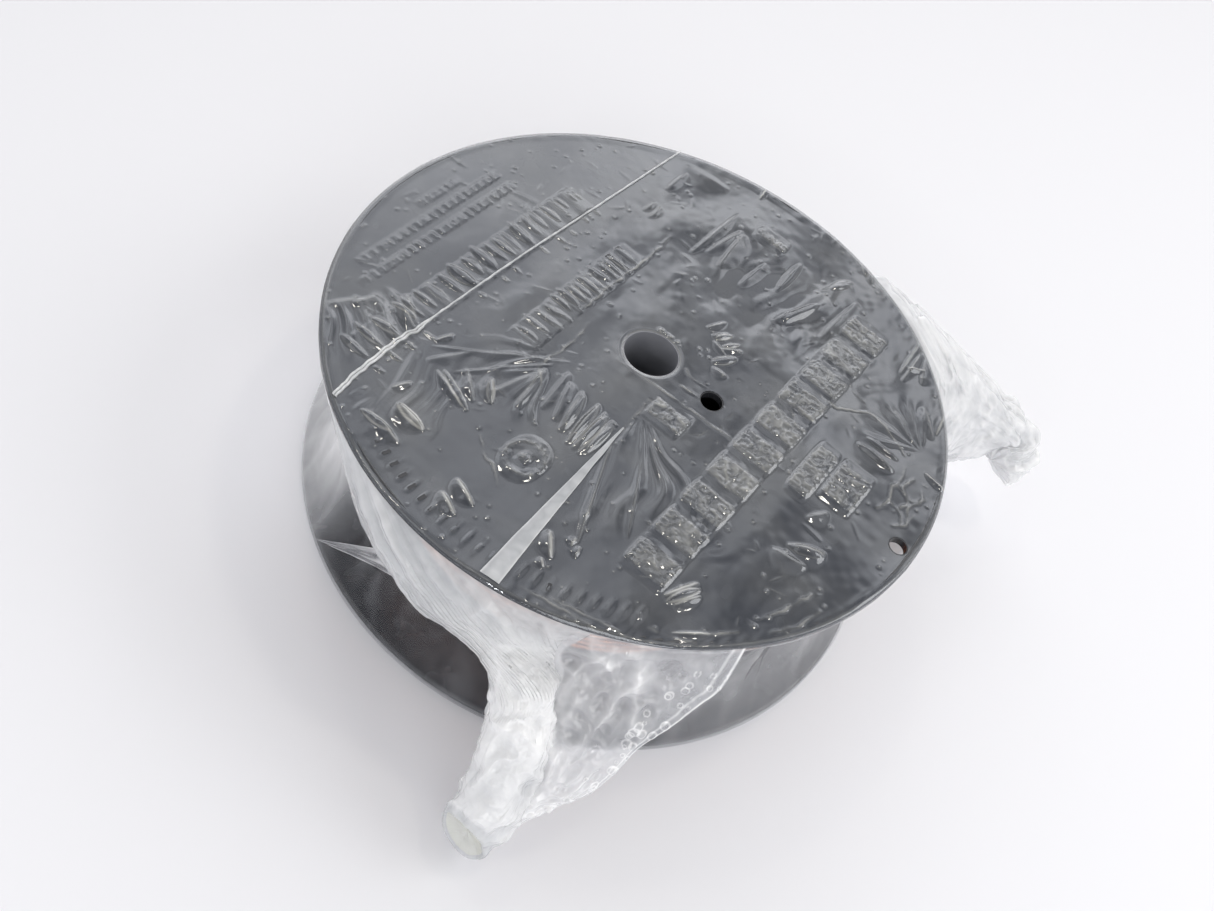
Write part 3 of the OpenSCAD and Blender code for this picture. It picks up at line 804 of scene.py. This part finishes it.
def gathered_mouth(material):
    """The bag's front: film from the top rim draws together into a bunch that ends bluntly."""
    rows, cap_rows = 300, 16
    u = both_sides(0, 1, 0)
    under = np.repeat([0.0, 1.0], [OUTER, INNER])
    line = smooth_path(MOUTH_PATH, 240)
    points = smooth_path(mouth_guides(line, u, under), rows)
    v = np.linspace(0, 1, rows)[:, None]

    normal = np.cross(np.gradient(points, axis=1), np.gradient(points, axis=0))
    normal /= np.linalg.norm(normal, axis=-1, keepdims=True) + 1e-9
    loose = smooth_step(v / 0.12) * (1 - 0.5 * under)
    bunch = smooth_step((v - 0.27) / 0.38)
    drawn = smooth_step((v - 0.14) / 0.3)
    a = both_sides(0, 9, 13)
    wrap = 1 - bell(a, 0.7) - bell(13 - a, 0.7)
    folds = billows(stacked(a * 0.75, v * 1.4, 0), 1.0, 2, 71)
    streaks = creased(stacked(a * 1.7, v * 12, 0), 1.0, 2, 75)
    lumps = noise(points / 13, 77) + 0.5 * noise(points / 6, 78)
    crumple = creased(points, 7.0, 3, 79)
    facets = creased(points, 12.0, 2, 81)
    pimples = creased(points, 3.4, 1, 83)
    swell = 1.3 * folds * wrap * lerp(1.0, 0.28, drawn) + lerp(0.9, 1.7, bunch) * lumps
    swell = (swell + 0.12 * streaks * (1 - 0.8 * bunch) + 0.30 * crumple) * loose
    swell = swell + (1.5 * facets + 0.22 * pimples) * bunch
    swell = swell + 2.4 * np.sin(math.pi * np.clip(v / 0.45, 0, 1)) * (1 - under) * np.sin(math.pi * u)
    swell = swell * (1 - bell(1 - u, 0.07) * (1 - bunch))
    points = points - normal * (swell * (1 - 0.6 * smooth_step((v - 0.93) / 0.07)))[..., None]
    points[..., 2] = np.maximum(points[..., 2], FILM_LOW + 0.15)

    # It turns white where it draws close to the bunch, and is clearer towards its end
    away = np.full(points.shape[:2], 1e9)
    for place in line[::6, :3]:
        away = np.minimum(away, np.linalg.norm(points - place, axis=-1))
    white = (1 - smooth_step((away - 14) / 32)) * smooth_step((88 - points[..., 2]) / 22)
    milk_and_highlight = lerp(0.42, 0.84, white) + 0.08 * folds * (1 - white)
    milk_and_highlight = milk_and_highlight + (0.04 * streaks + 0.05 * lumps + 0.05 * crumple) * lerp(1.0, 0.5, white)
    milk_and_highlight = milk_and_highlight + 0.10 * (facets - 0.3) * bunch - 0.16 * smooth_step((v - 0.62) / 0.15)
    milk_and_highlight = milk_and_highlight + 0.4 * bell(u, 0.010) * (1 - under) * (1 - bunch) - 0.30 * smooth_step((v - 0.94) / 0.05)

    # The blunt end is a flat disc, a little hollow, with a thick lip
    end = points[-1]
    centre = end.mean(0)
    ahead = np.cross(end[0] - centre, end[OUTER // 2] - centre)
    ahead *= np.sign(ahead @ (line[-1, :3] - line[-9, :3])) / np.linalg.norm(ahead)
    f = (np.arange(1, cap_rows + 1) / cap_rows)[:, None]
    hollow = 0.8 * bell(f - 0.08, 0.08) - 1.2 * smooth_step((f - 0.1) / 0.4) + 0.3 * noise(end / 5, 3) * f
    caps = centre + (end - centre) * (1 - f[..., None]) + ahead * hollow[..., None]
    cap_milk = np.broadcast_to(0.20 + 0.3 * bell(f - 0.08, 0.06), hollow.shape)
    points, milk_and_highlight = np.concatenate([points, caps]), np.concatenate([milk_and_highlight, cap_milk])
    piece = grid_piece("gathered_mouth", points, material, milk_and_highlight, closed=True)
    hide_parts("film_front_tail")


# The flap's left and right edge, from the rim down
FLAP_LEFT = [(49, -115.5, 85.5), (48, -118, 68), (60.5, -126, 49), (66, -139, 33), (68.5, -150, 22)]
FLAP_RIGHT = [
    (98.5, -78.5, 86.5), (100.2, -88.5, 75), (98, -95.5, 68), (95, -104.5, 59.5), (91.2, -113, 51),
    (90.0, -122, 42), (87.5, -130, 34), (82, -138, 27.5), (76, -148, 20),
]

# Folds of the flap: points (u, v) over its width and length, then width, height and whiteness
FLAP_FOLDS = [
    ([(0.42, 0.03), (0.50, 0.16), (0.66, 0.32), (0.90, 0.50), (0.97, 0.56)], 0.030, 1.5, 0.36),
    ([(0.38, 0.12), (0.30, 0.26), (0.22, 0.40), (0.08, 0.55)], 0.030, 1.6, 0.28),
    ([(0.30, 0.10), (0.18, 0.30), (0.05, 0.46)], 0.022, 1.0, 0.25),
    ([(0.55, 0.18), (0.50, 0.34), (0.44, 0.46)], 0.020, 0.9, 0.35),
    ([(0.05, 0.58), (0.20, 0.60), (0.36, 0.58)], 0.030, 1.2, 0.5),
    ([(0.22, 0.62), (0.30, 0.74), (0.50, 0.80), (0.68, 0.74), (0.72, 0.62)], 0.026, 1.0, 0.4),
    ([(0.14, 0.64), (0.24, 0.82), (0.50, 0.90), (0.76, 0.82), (0.84, 0.66)], 0.024, 0.9, 0.35),
    ([(0.34, 0.64), (0.40, 0.70), (0.52, 0.72), (0.58, 0.64)], 0.020, 0.8, 0.35),
    ([(0.02, 0.72), (0.20, 0.92), (0.50, 0.97), (0.90, 0.90)], 0.030, 1.0, 0.3),
    ([(0.12, 0.06), (0.20, 0.14), (0.34, 0.18)], 0.020, 0.8, 0.4),
]


def distance_to_line(u, v, points):
    """Distance of each (u, v) from a line through points."""
    best = np.full(np.broadcast(u, v).shape, 1e9)
    for (au, av), (bu, bv) in zip(points[:-1], points[1:]):
        du, dv = bu - au, bv - av
        t = np.clip(((u - au) * du + (v - av) * dv) / (du * du + dv * dv), 0, 1)
        best = np.minimum(best, np.hypot(u - au - t * du, v - av - t * dv))
    return best


def front_flap(material):
    """Loose clear film beside the gathered mouth, with a doubled edge and bubbles."""
    rows, columns = 220, 190
    u, v = shares(rows, columns)
    left, right = smooth_path(FLAP_LEFT, rows)[:, None], smooth_path(FLAP_RIGHT, rows)[:, None]
    points = lerp(left, right, u[..., None])
    rim = polar(RIM_R + 0.1, lerp(*FLAP_ROOT, u), PLATE_Z - 0.2)
    points = lerp(np.broadcast_to(rim, points.shape), points, smooth_step(v / 0.12)[..., None])
    outward = np.array([0.45, -0.75, 0.35])
    free = np.sin(math.pi * u)**0.5 * smooth_step(v / 0.1)
    soft = noise(points / 17, 85)
    crumple = creased(points, 7.0, 2, 87)
    fine = creased(points, 3.2, 1, 88)
    swell = (1.5 * soft + 0.9 * crumple + 0.18 * fine) * free
    swell = swell + 4.0 * np.sin(math.pi * u) * np.sin(math.pi * v)
    milk_and_highlight = 0.36 + 0.10 * soft + 0.10 * np.clip(crumple, 0, 1) + 0.25 * smooth_step((v - 0.55) / 0.4)
    milk_and_highlight = milk_and_highlight + 0.10 * between(u, 0.0, 0.5, 0.15) * between(v, 0, 0.4, 0.2)
    # It is whiter beside the bunch
    milk_and_highlight = milk_and_highlight + 0.16 * np.exp(-u / 0.10) + 0.30 * np.exp(-u / 0.28) * smooth_step((v - 0.42) / 0.3)
    wobble = 0.025 * noise(stacked(u * 7, v * 7, 0), 89)
    broken = np.clip(0.55 + 0.8 * noise(points / 5.5, 93), 0, 1.1)
    for line, width, height, whiteness in FLAP_FOLDS:
        d = distance_to_line(u + wobble, v - wobble, line) / (1.5 * width)
        swell = swell + 1.2 * height * np.exp(-d**2) * free
        milk_and_highlight = milk_and_highlight + 0.34 * whiteness * (np.exp(-(0.7 * d)**2) + broken * np.exp(-(3.0 * d)**2))
    points = points + outward * swell[..., None]
    milk_and_highlight = milk_and_highlight + 0.6 * bell(u - 0.990, 0.008) + 0.35 * bell(u - 0.93, 0.012)
    rng = np.random.default_rng(5)
    for _ in range(46):
        bu, bv = 1 - 0.30 * rng.uniform(0.1, 1)**1.6, rng.uniform(0.10, 0.95)
        size = rng.uniform(0.45, 1.9)
        centre = points[int(bv * (rows - 1)), int(bu * (columns - 1))]
        d = np.linalg.norm(points - centre, axis=-1) / size
        points = points + outward * (0.35 * size * np.clip(1 - d**2, 0, 1)**0.7)[..., None]
        milk_and_highlight = milk_and_highlight + 0.4 * bell(d - 1, 0.2)
    points[..., 2] = np.maximum(points[..., 2], FILM_LOW + 0.2)
    piece = grid_piece("front_flap", points, material, milk_and_highlight)
    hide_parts("film_front_flap")


def side_pleat(material):
    """A narrow pleat that runs from the lower rim up into the fan's edge."""
    u, v = shares(70, 40)
    foot = polar(RIM_R + 0.1, -118.0, LIP)
    high, low = np.array([-18.7, -120.9, 56.4]), np.array([-4.0, -122.0, 50.0])
    points = lerp(foot, lerp(low, high, u[..., None]), v[..., None])
    ripple = billows(stacked(u * 2.4, v * 2.5, 0), 1.0, 2, 91)
    sag = (1.3 * ripple - 2.5 * np.sin(math.pi * v)) * np.sin(math.pi * v)
    points = points + np.array([-0.3, -0.6, 0.5]) * sag[..., None]
    milk_and_highlight = 0.38 + 0.4 * (bell(u, 0.06) + bell(1 - u, 0.05)) + 0.2 * ripple
    piece = grid_piece("side_pleat", points, material, milk_and_highlight)


# ---- Gathered film behind ----


# x, y, z and radius of the far end, from inside the rims to its blunt end
REAR_PATH = [
    (86, 112, 66, 26), (97, 124, 63, 22), (107.5, 131, 58, 18.5), (119, 135, 52.5, 15.5),
    (129, 136.5, 47, 13.8), (134, 135.5, 43.5, 12.2), (134.5, 131.5, 39.5, 10.6), (132.5, 127.5, 37.5, 9.4),
]


def rear_gather(material):
    """The bag's far end: it leaves both rims, draws together and ends in a stiff bunch."""
    rows, columns, cap_rows = 240, 300, 10
    a = round_angles(columns)
    across, upward = (np.sign(w) * np.abs(w)**0.6 for w in (np.cos(a), np.sin(a)))
    base = polar(RIM_R + 0.15, 57.0 - 23.5 * across, 44.0 + 42.5 * upward)
    path = smooth_path(REAR_PATH, rows)
    tube, pleats, fine = gathered_tube(path[:, :3], path[:, 3], 0.85, a, 101, 0.012)
    s = np.linspace(0, 1, rows)[:, None]
    blend = np.clip(s / 0.70, 0, 1)**0.85
    blend = 0.7 * blend + 0.3 * smooth_step(blend)
    points = lerp(np.broadcast_to(base, tube.shape), tube, blend[..., None])
    folds = billows(stacked(np.cos(a) * 2.6, np.sin(a) * 2.6, s * 1.2), 1.0, 2, 107)
    lumps, knots = noise(points / 14, 111), noise(points / 6.5, 115)
    facets = creased(points, 11.0, 2, 117)
    out = points - path[:, None, :3]
    out /= np.linalg.norm(out, axis=-1, keepdims=True)
    window = smooth_step(s / 0.12) * (1 - 0.4 * smooth_step((s - 0.6) / 0.3))
    swell = 1.8 * folds + 3.2 * lumps + 1.6 * knots + 1.3 * (facets - 0.4) + 0.3 * fine
    points = points + out * (swell * window)[..., None]
    # Beside its root the film stands off the upper rim
    turn = np.degrees(np.arctan2(points[..., 1], points[..., 0]))
    stand = bell(turn - 71, 9) * smooth_step((points[..., 2] - 58) / 18) * smooth_step(s / 0.05)
    stand *= (1 - smooth_step((s - 0.12) / 0.3)) * (5.5 + 2.0 * noise(points / 7, 113))
    points = points + stand[..., None] * polar(1.0, turn, 0.12)
    milk_and_highlight = 0.50 + 0.16 * s + 0.10 * folds * window + 0.08 * knots + 0.06 * pleats + 0.08 * fine

    # The blunt end is domed and uneven
    centre, end = path[-1, :3], points[-1]
    ahead = centre - path[-7, :3]
    f = (np.arange(1, cap_rows + 1) / cap_rows)[:, None]
    dome = 2.4 * np.sin(0.5 * math.pi * f) + 1.2 * noise(end / 4, 119) * np.sin(math.pi * f)
    caps = centre + (end - centre) * (1 - f[..., None]) + ahead / np.linalg.norm(ahead) * dome[..., None]
    points = np.concatenate([points, caps])
    milk_and_highlight = np.concatenate([milk_and_highlight, np.full(dome.shape, 0.7)])
    piece = grid_piece("rear_gather", points, material, milk_and_highlight, closed=True)
    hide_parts("film_rear_tail")


# ---- Seam and strip ----

SEAM_LINE = [
    (-61.9, 108.2), (-63.2, 70), (-64.6, 30), (-65.7, -3), (-66.2, -53), (-65.7, -60), (-66.8, -70),
    (-66.0, -90), (-65.0, -100), (-63.6, -106.4),
]


def film_seam(material):
    """The bag's weld, a narrow raised ribbon that doubles and puckers towards the front."""
    rows, columns = 460, 13
    line = smooth_path([(x, y, 0) for x, y in SEAM_LINE], rows)[:, None]
    u = np.linspace(-1, 1, columns)
    front = smooth_step((-52 - line[..., 1]) / 10)
    half = 0.45 + 0.70 * front + 0.09 * noise(line / 2.2, 121)
    shift = 0.35 * noise(line / 3.0, 123) * (0.25 + front)
    pucker = noise(line / 1.3 + u[:, None] * 0.4, 125)
    profile = lerp(1 - u**2, 1.15 * np.abs(np.sin(math.pi * u))**0.8, front)
    z = FILM_HIGH - 0.05 + 0.55 * profile + 0.10 * pucker * (0.3 + front)
    points = stacked(line[..., 0] + u * half + shift, line[..., 1], np.maximum(z, FILM_HIGH - 0.1))
    milk_and_highlight = 0.42 + 0.25 * profile + 0.15 * pucker - 0.25 * front * (profile < 0.5)
    piece = grid_piece("weld_seam", points, material, milk_and_highlight)
    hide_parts("film_seam")


def doubled_strip(material):
    """A long wedge where the film lies double, from near the bore out to the rim."""
    u, v = shares(200, 22)
    left = 14.1 + 2.6 * v - 0.3 * np.sin(math.pi * v) + 0.12 * noise(stacked(v * 9, v, v), 131)
    right = 14.5 + 9.7 * v + 0.2 * noise(stacked(v * 11, v, v), 133)
    points = stacked(lerp(left, right, u), lerp(-38.0, -121.6, v) + 0.9 * (u - 0.5) * v, 0.0)
    rumple = fractal(points, 7, 3, 135)
    points[..., 2] = FILM_HIGH + 0.45 + 0.16 * rumple
    milk_and_highlight = 0.37 + 0.30 * (bell(u, 0.07) + bell(1 - u, 0.07)) + 0.14 * np.abs(rumple) + 0.04 * v
    piece = grid_piece("doubled_strip", points, material, milk_and_highlight)
    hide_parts("film_edge_strip")


# ---- Wire ----


def tube_piece(name, path, radius, columns, material):
    """A round tube along a path, closed to a point at both ends."""
    ring = rings(path, np.array([0.02, 0.03, 1.0]), round_angles(columns))
    points = path[:, None] + ring * np.reshape(radius, (-1, 1, 1))
    start, end = (np.broadcast_to(place, points[:1].shape) for place in (path[0], path[-1]))
    points = np.concatenate([start, points, end])
    return grid_piece(name, points, material, 0.0, closed=True)


def layer_path():
    """The outer layer's centre line, and unit vectors outward and onward where it starts and ends."""
    low, high = box_mm("wire_outer_layer")
    top, bottom = high[2] - WIRE_R, low[2] + WIRE_R
    leave = LOWER_HOLE_AT - math.degrees(math.acos(WIND_R / RIM_HOLE_AT))
    per_turn = 96
    s = np.linspace(0, TURNS, TURNS * per_turn + 1)
    tension = 0.18 * noise(stacked(s * 2.3, 0, 0), 141) * np.sin(math.pi * s / TURNS)
    layer = polar(WIND_R, leave + 360 * s, top + (bottom - top) * s / TURNS + tension)
    return layer, polar(1.0, leave, 0.0), polar(1.0, leave + 90, 0.0)


def wound_layer(material):
    """The outer layer of wire: one tube in all its turns, from its dive at the top to its free end."""
    layer, out, onward = layer_path()
    bend_r = 5
    centre = layer[0] - bend_r * out
    angles = np.radians(np.arange(0, 89, 11.25))
    dive = [centre - bend_r * onward - STRAIGHT * out]
    dive += [centre - bend_r * math.cos(b) * onward + bend_r * math.sin(b) * out for b in angles]
    path = np.vstack([dive, layer, layer[-1] + STRAIGHT * onward])
    piece = tube_piece("wire_winding", path, WIRE_R, 14, material)
    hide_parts("wire_outer_layer")


def wire_free(material):
    """The free end: along a tangent, and down into the rim hole of the lower flange."""
    layer, _, onward = layer_path()
    bend_r = 4.8
    start = layer[-1] + STRAIGHT * onward
    hole = polar(RIM_HOLE_AT, LOWER_HOLE_AT, 0.6)
    bend = hole + [0, 0, 3] - bend_r * onward
    f = np.linspace(0, 1, 40)[:, None]
    run = lerp(start, bend + [0, 0, bend_r], f)
    run[:, 2:] = lerp(start[2], bend[2] + bend_r, smooth_step(f))
    b = np.radians(np.linspace(8, 90, 12))[:, None]
    turn = bend + bend_r * (np.sin(b) * onward + np.cos(b) * [[0, 0, 1]])
    piece = tube_piece("wire_free", np.vstack([run, turn, hole]), WIRE_R, 14, material)
    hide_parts("wire_free_end")


def wire_start(material):
    """The wire's start, a short straight run through the wall of the barrel, with a rounded tip."""
    count, outer_r, inner_r, azimuth = 40, 62.13, 33.5, 20.0
    f = np.linspace(0, 1, count)
    sag = 1.5 * (np.maximum(0, f - 0.3) / 0.7)**2
    path = polar(lerp(outer_r, inner_r, f), azimuth, box_mm("wire_start_end")[1][2] - WIRE_R - sag)
    radius = np.full(count, WIRE_R)
    radius[-3:] = (1.45, 1.3, 1.0)
    piece = tube_piece("wire_start", path, radius, 16, material)
    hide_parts("wire_start_end")


def inner_layers(material):
    """What shows between the outer turns: the layer below, ribbed the other way, with its ends."""
    low, high = box_mm("wire_core")
    inner_r, outer_r = 62.2, high[0] - 0.05 - WIRE_R
    pitch, layer_step, groove = 3.49, 3.1, 1.2
    rows, columns = 500, 240
    azimuth = np.arange(columns) * 360 / columns
    z = np.linspace(low[2], high[2], rows)[:, None]
    phase = (z - low[2]) / pitch + azimuth / 360
    rib = np.sqrt(np.clip(1 - (2 * (phase % 1) - 1)**2 * 0.96, 0, 1))

    def end_face(start_r, end_r, height, inward):
        r = lerp(start_r, end_r, np.linspace(0, 1, 36)[:, None])
        dip = groove * (1 - np.abs(np.sin(math.pi * (r - inner_r) / layer_step)))
        return polar(r, azimuth, height + inward * dip)

    below = end_face(inner_r, outer_r, low[2], 1)
    above = end_face(outer_r, inner_r, high[2], -1)
    points = np.concatenate([below, polar(outer_r + WIRE_R * rib, azimuth, z), above])
    piece = grid_piece("wire_layers", points, material, 0.0, closed=True)
    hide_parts("wire_core")


# ---- Scene ----


def camera():
    """The photo's camera, fitted to the rims of both flanges."""
    data = bpy.data.cameras.new("camera")
    data.lens, data.sensor_width = 35.647, 36
    data.clip_start, data.clip_end = 0.01, 20
    cam = add_object("camera", data)
    right, up, back = (0.76635, 0.58475, 0.26605), (-0.61480, 0.54743, 0.56775), (0.18635, -0.59866, 0.77903)
    axes = Matrix((right, up, back)).transposed().to_4x4()
    axes.translation = Vector((97.74, -310.0, 423.34)) * MM
    cam.matrix_world = axes
    bpy.context.scene.camera = cam


def floor():
    mesh = bpy.data.meshes.new("floor")
    corners = polar(2000.0, np.arange(0, 360, 3.0), FILM_LOW - 0.02) * MM
    mesh.from_pydata(corners.tolist(), [], [list(range(len(corners)))])
    mat, _, shader = node_material("floor")
    shader.inputs["Base Color"].default_value = (0.86, 0.86, 0.89, 1)
    shader.inputs["Roughness"].default_value = 0.6
    shader.inputs["Specular IOR Level"].default_value = 0.2
    mesh.materials.append(mat)
    add_object("floor", mesh)


# Soft boxes: name, azimuth, elevation, distance and side in metres, power in watts, colour
SOFT_BOXES = [
    ("window", 36, 42, 1.7, (0.9, 0.9), 7.0, (1.0, 0.99, 0.97)),
    ("fill", -50, 36, 1.7, (1.0, 0.8), 6.7, (1.0, 1.0, 1.0)),
    ("ceiling", 235, 62, 1.8, (0.9, 0.9), 1.6, (1.0, 1.0, 1.0)),
    ("lamp_a", 150, 64, 1.7, (0.10, 0.10), 0.6, (1.0, 0.93, 0.8)),
    ("lamp_b", 66, 72, 1.7, (0.14, 0.14), 1.6, (1.0, 0.93, 0.8)),
    ("lamp_c", -84, 30, 1.7, (0.10, 0.10), 1.0, (1.0, 1.0, 1.0)),
]

# Bright and dark parts of the room, as the film reflects them: azimuth, elevation, change in strength
ROOM_PARTS = [
    (117, 39, 0.66), (88, 43, 0.9), (101, 42, -1.3), (119, 54, 0.46), (91, 53, -0.35), (99, 57, 0.35),
    (127, 45, 0.06), (107, 37, 0.2),
]


def softbox(name, azimuth, elevation, distance, size, power, colour):
    data = bpy.data.lights.new(name, "AREA")
    data.shape = "RECTANGLE"
    data.size, data.size_y = size
    data.energy, data.color = power, colour
    lamp = add_object(name, data)
    lamp.location = distance * direction(azimuth, elevation)
    lamp.rotation_euler = (-lamp.location).to_track_quat("-Z", "Y").to_euler()


def patch(tree, ways, azimuth, elevation, edge, core, outside, inside):
    """A soft round patch of the world; edge and core are cosines of the angle from its middle."""
    facing = add_node(tree, "ShaderNodeVectorMath", {0: ways, 1: direction(azimuth, elevation)},
                      operation="DOT_PRODUCT").outputs["Value"]
    return map_range(tree, facing, edge, core, outside, inside, interpolation_type="SMOOTHSTEP")


def studio():
    """A pale room that is darker on the camera's side, and plain white where the camera sees it."""
    world = bpy.data.worlds.new("studio")
    bpy.context.scene.world = world
    world.use_nodes = True
    tree = world.node_tree
    background = tree.nodes["Background"]
    background.inputs["Color"].default_value = (0.985, 0.985, 1.0, 1)
    ways = add_node(tree, "ShaderNodeTexCoord").outputs["Generated"]
    height = add_node(tree, "ShaderNodeSeparateXYZ", {"Vector": ways}).outputs["Z"]
    cloud = add_node(tree, "ShaderNodeTexNoise", {"Vector": ways, "Scale": 4.2, "Detail": 1.5}).outputs["Fac"]
    walls = map_range(tree, height, 0.0, 0.9, 1.16, 0.46)
    glow = patch(tree, ways, 124, 24, 0.70, 0.98, 0.0, 1.15)
    photographer = patch(tree, ways, -72, 58, 0.76, 0.95, 1.0, 0.15)
    strength = math_node(tree, "MULTIPLY", photographer, math_node(tree, "ADD", walls, glow))
    strength = math_node(tree, "MULTIPLY", strength, map_range(tree, cloud, 0.36, 0.64, 0.66, 1.34))
    for azimuth, elevation, change in ROOM_PARTS:
        part = patch(tree, ways, azimuth, elevation, 0.990, 1.0, 0.0, change)
        strength = math_node(tree, "ADD", strength, part)
    strength = math_node(tree, "MAXIMUM", strength, 0.15)
    tree.links.new(strength, background.inputs["Strength"])
    plain = add_node(tree, "ShaderNodeBackground", {"Color": (1, 1, 1, 1), "Strength": 1.0})
    path = add_node(tree, "ShaderNodeLightPath")
    mixed = add_node(tree, "ShaderNodeMixShader", {
        0: path.outputs["Is Camera Ray"], 1: background.outputs[0], 2: plain.outputs[0]})
    tree.links.new(mixed.outputs[0], tree.nodes["World Output"].inputs["Surface"])


def mouldings():
    """The plastic pieces keep their CAD meshes, and get procedural materials."""
    flange = moulded_black("flange_black", (0.017, 0.018, 0.021), (0.032, 0.033, 0.038), 0.16, 0.3)
    drum = moulded_black("drum_black", (0.02, 0.021, 0.024), (0.04, 0.041, 0.046), 0.32, 0.5)
    # The hub tube is paler: a painted sheen that stands in for the reflection of the film stretched over the
    # bore
    hub = moulded_black("hub_painted_sheen", (0.17, 0.175, 0.195), (0.27, 0.275, 0.30), 0.28, 0.42)
    materials = {"top_flange": flange, "bottom_flange": flange, "barrel": drum, "rib_spider": drum,
                 "hub_tube": hub}
    for node, material in materials.items():
        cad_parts[node].material_slots[0].material = material


def main():
    camera()
    floor()
    for box in SOFT_BOXES:
        softbox(*box)
    studio()
    bpy.context.scene.view_settings.view_transform = "Standard"

    mouldings()
    wire = wire_metal()
    clear = clear_film()
    white = bunched_film()
    top_film(film_on_black())
    side_film(clear)
    bottom_film(clear)
    gathered_mouth(white)
    front_flap(clear)
    side_pleat(clear)
    rear_gather(white)
    film_seam(white)
    doubled_strip(white)
    for build in (wound_layer, wire_free, wire_start, inner_layers):
        build(wire)


main()
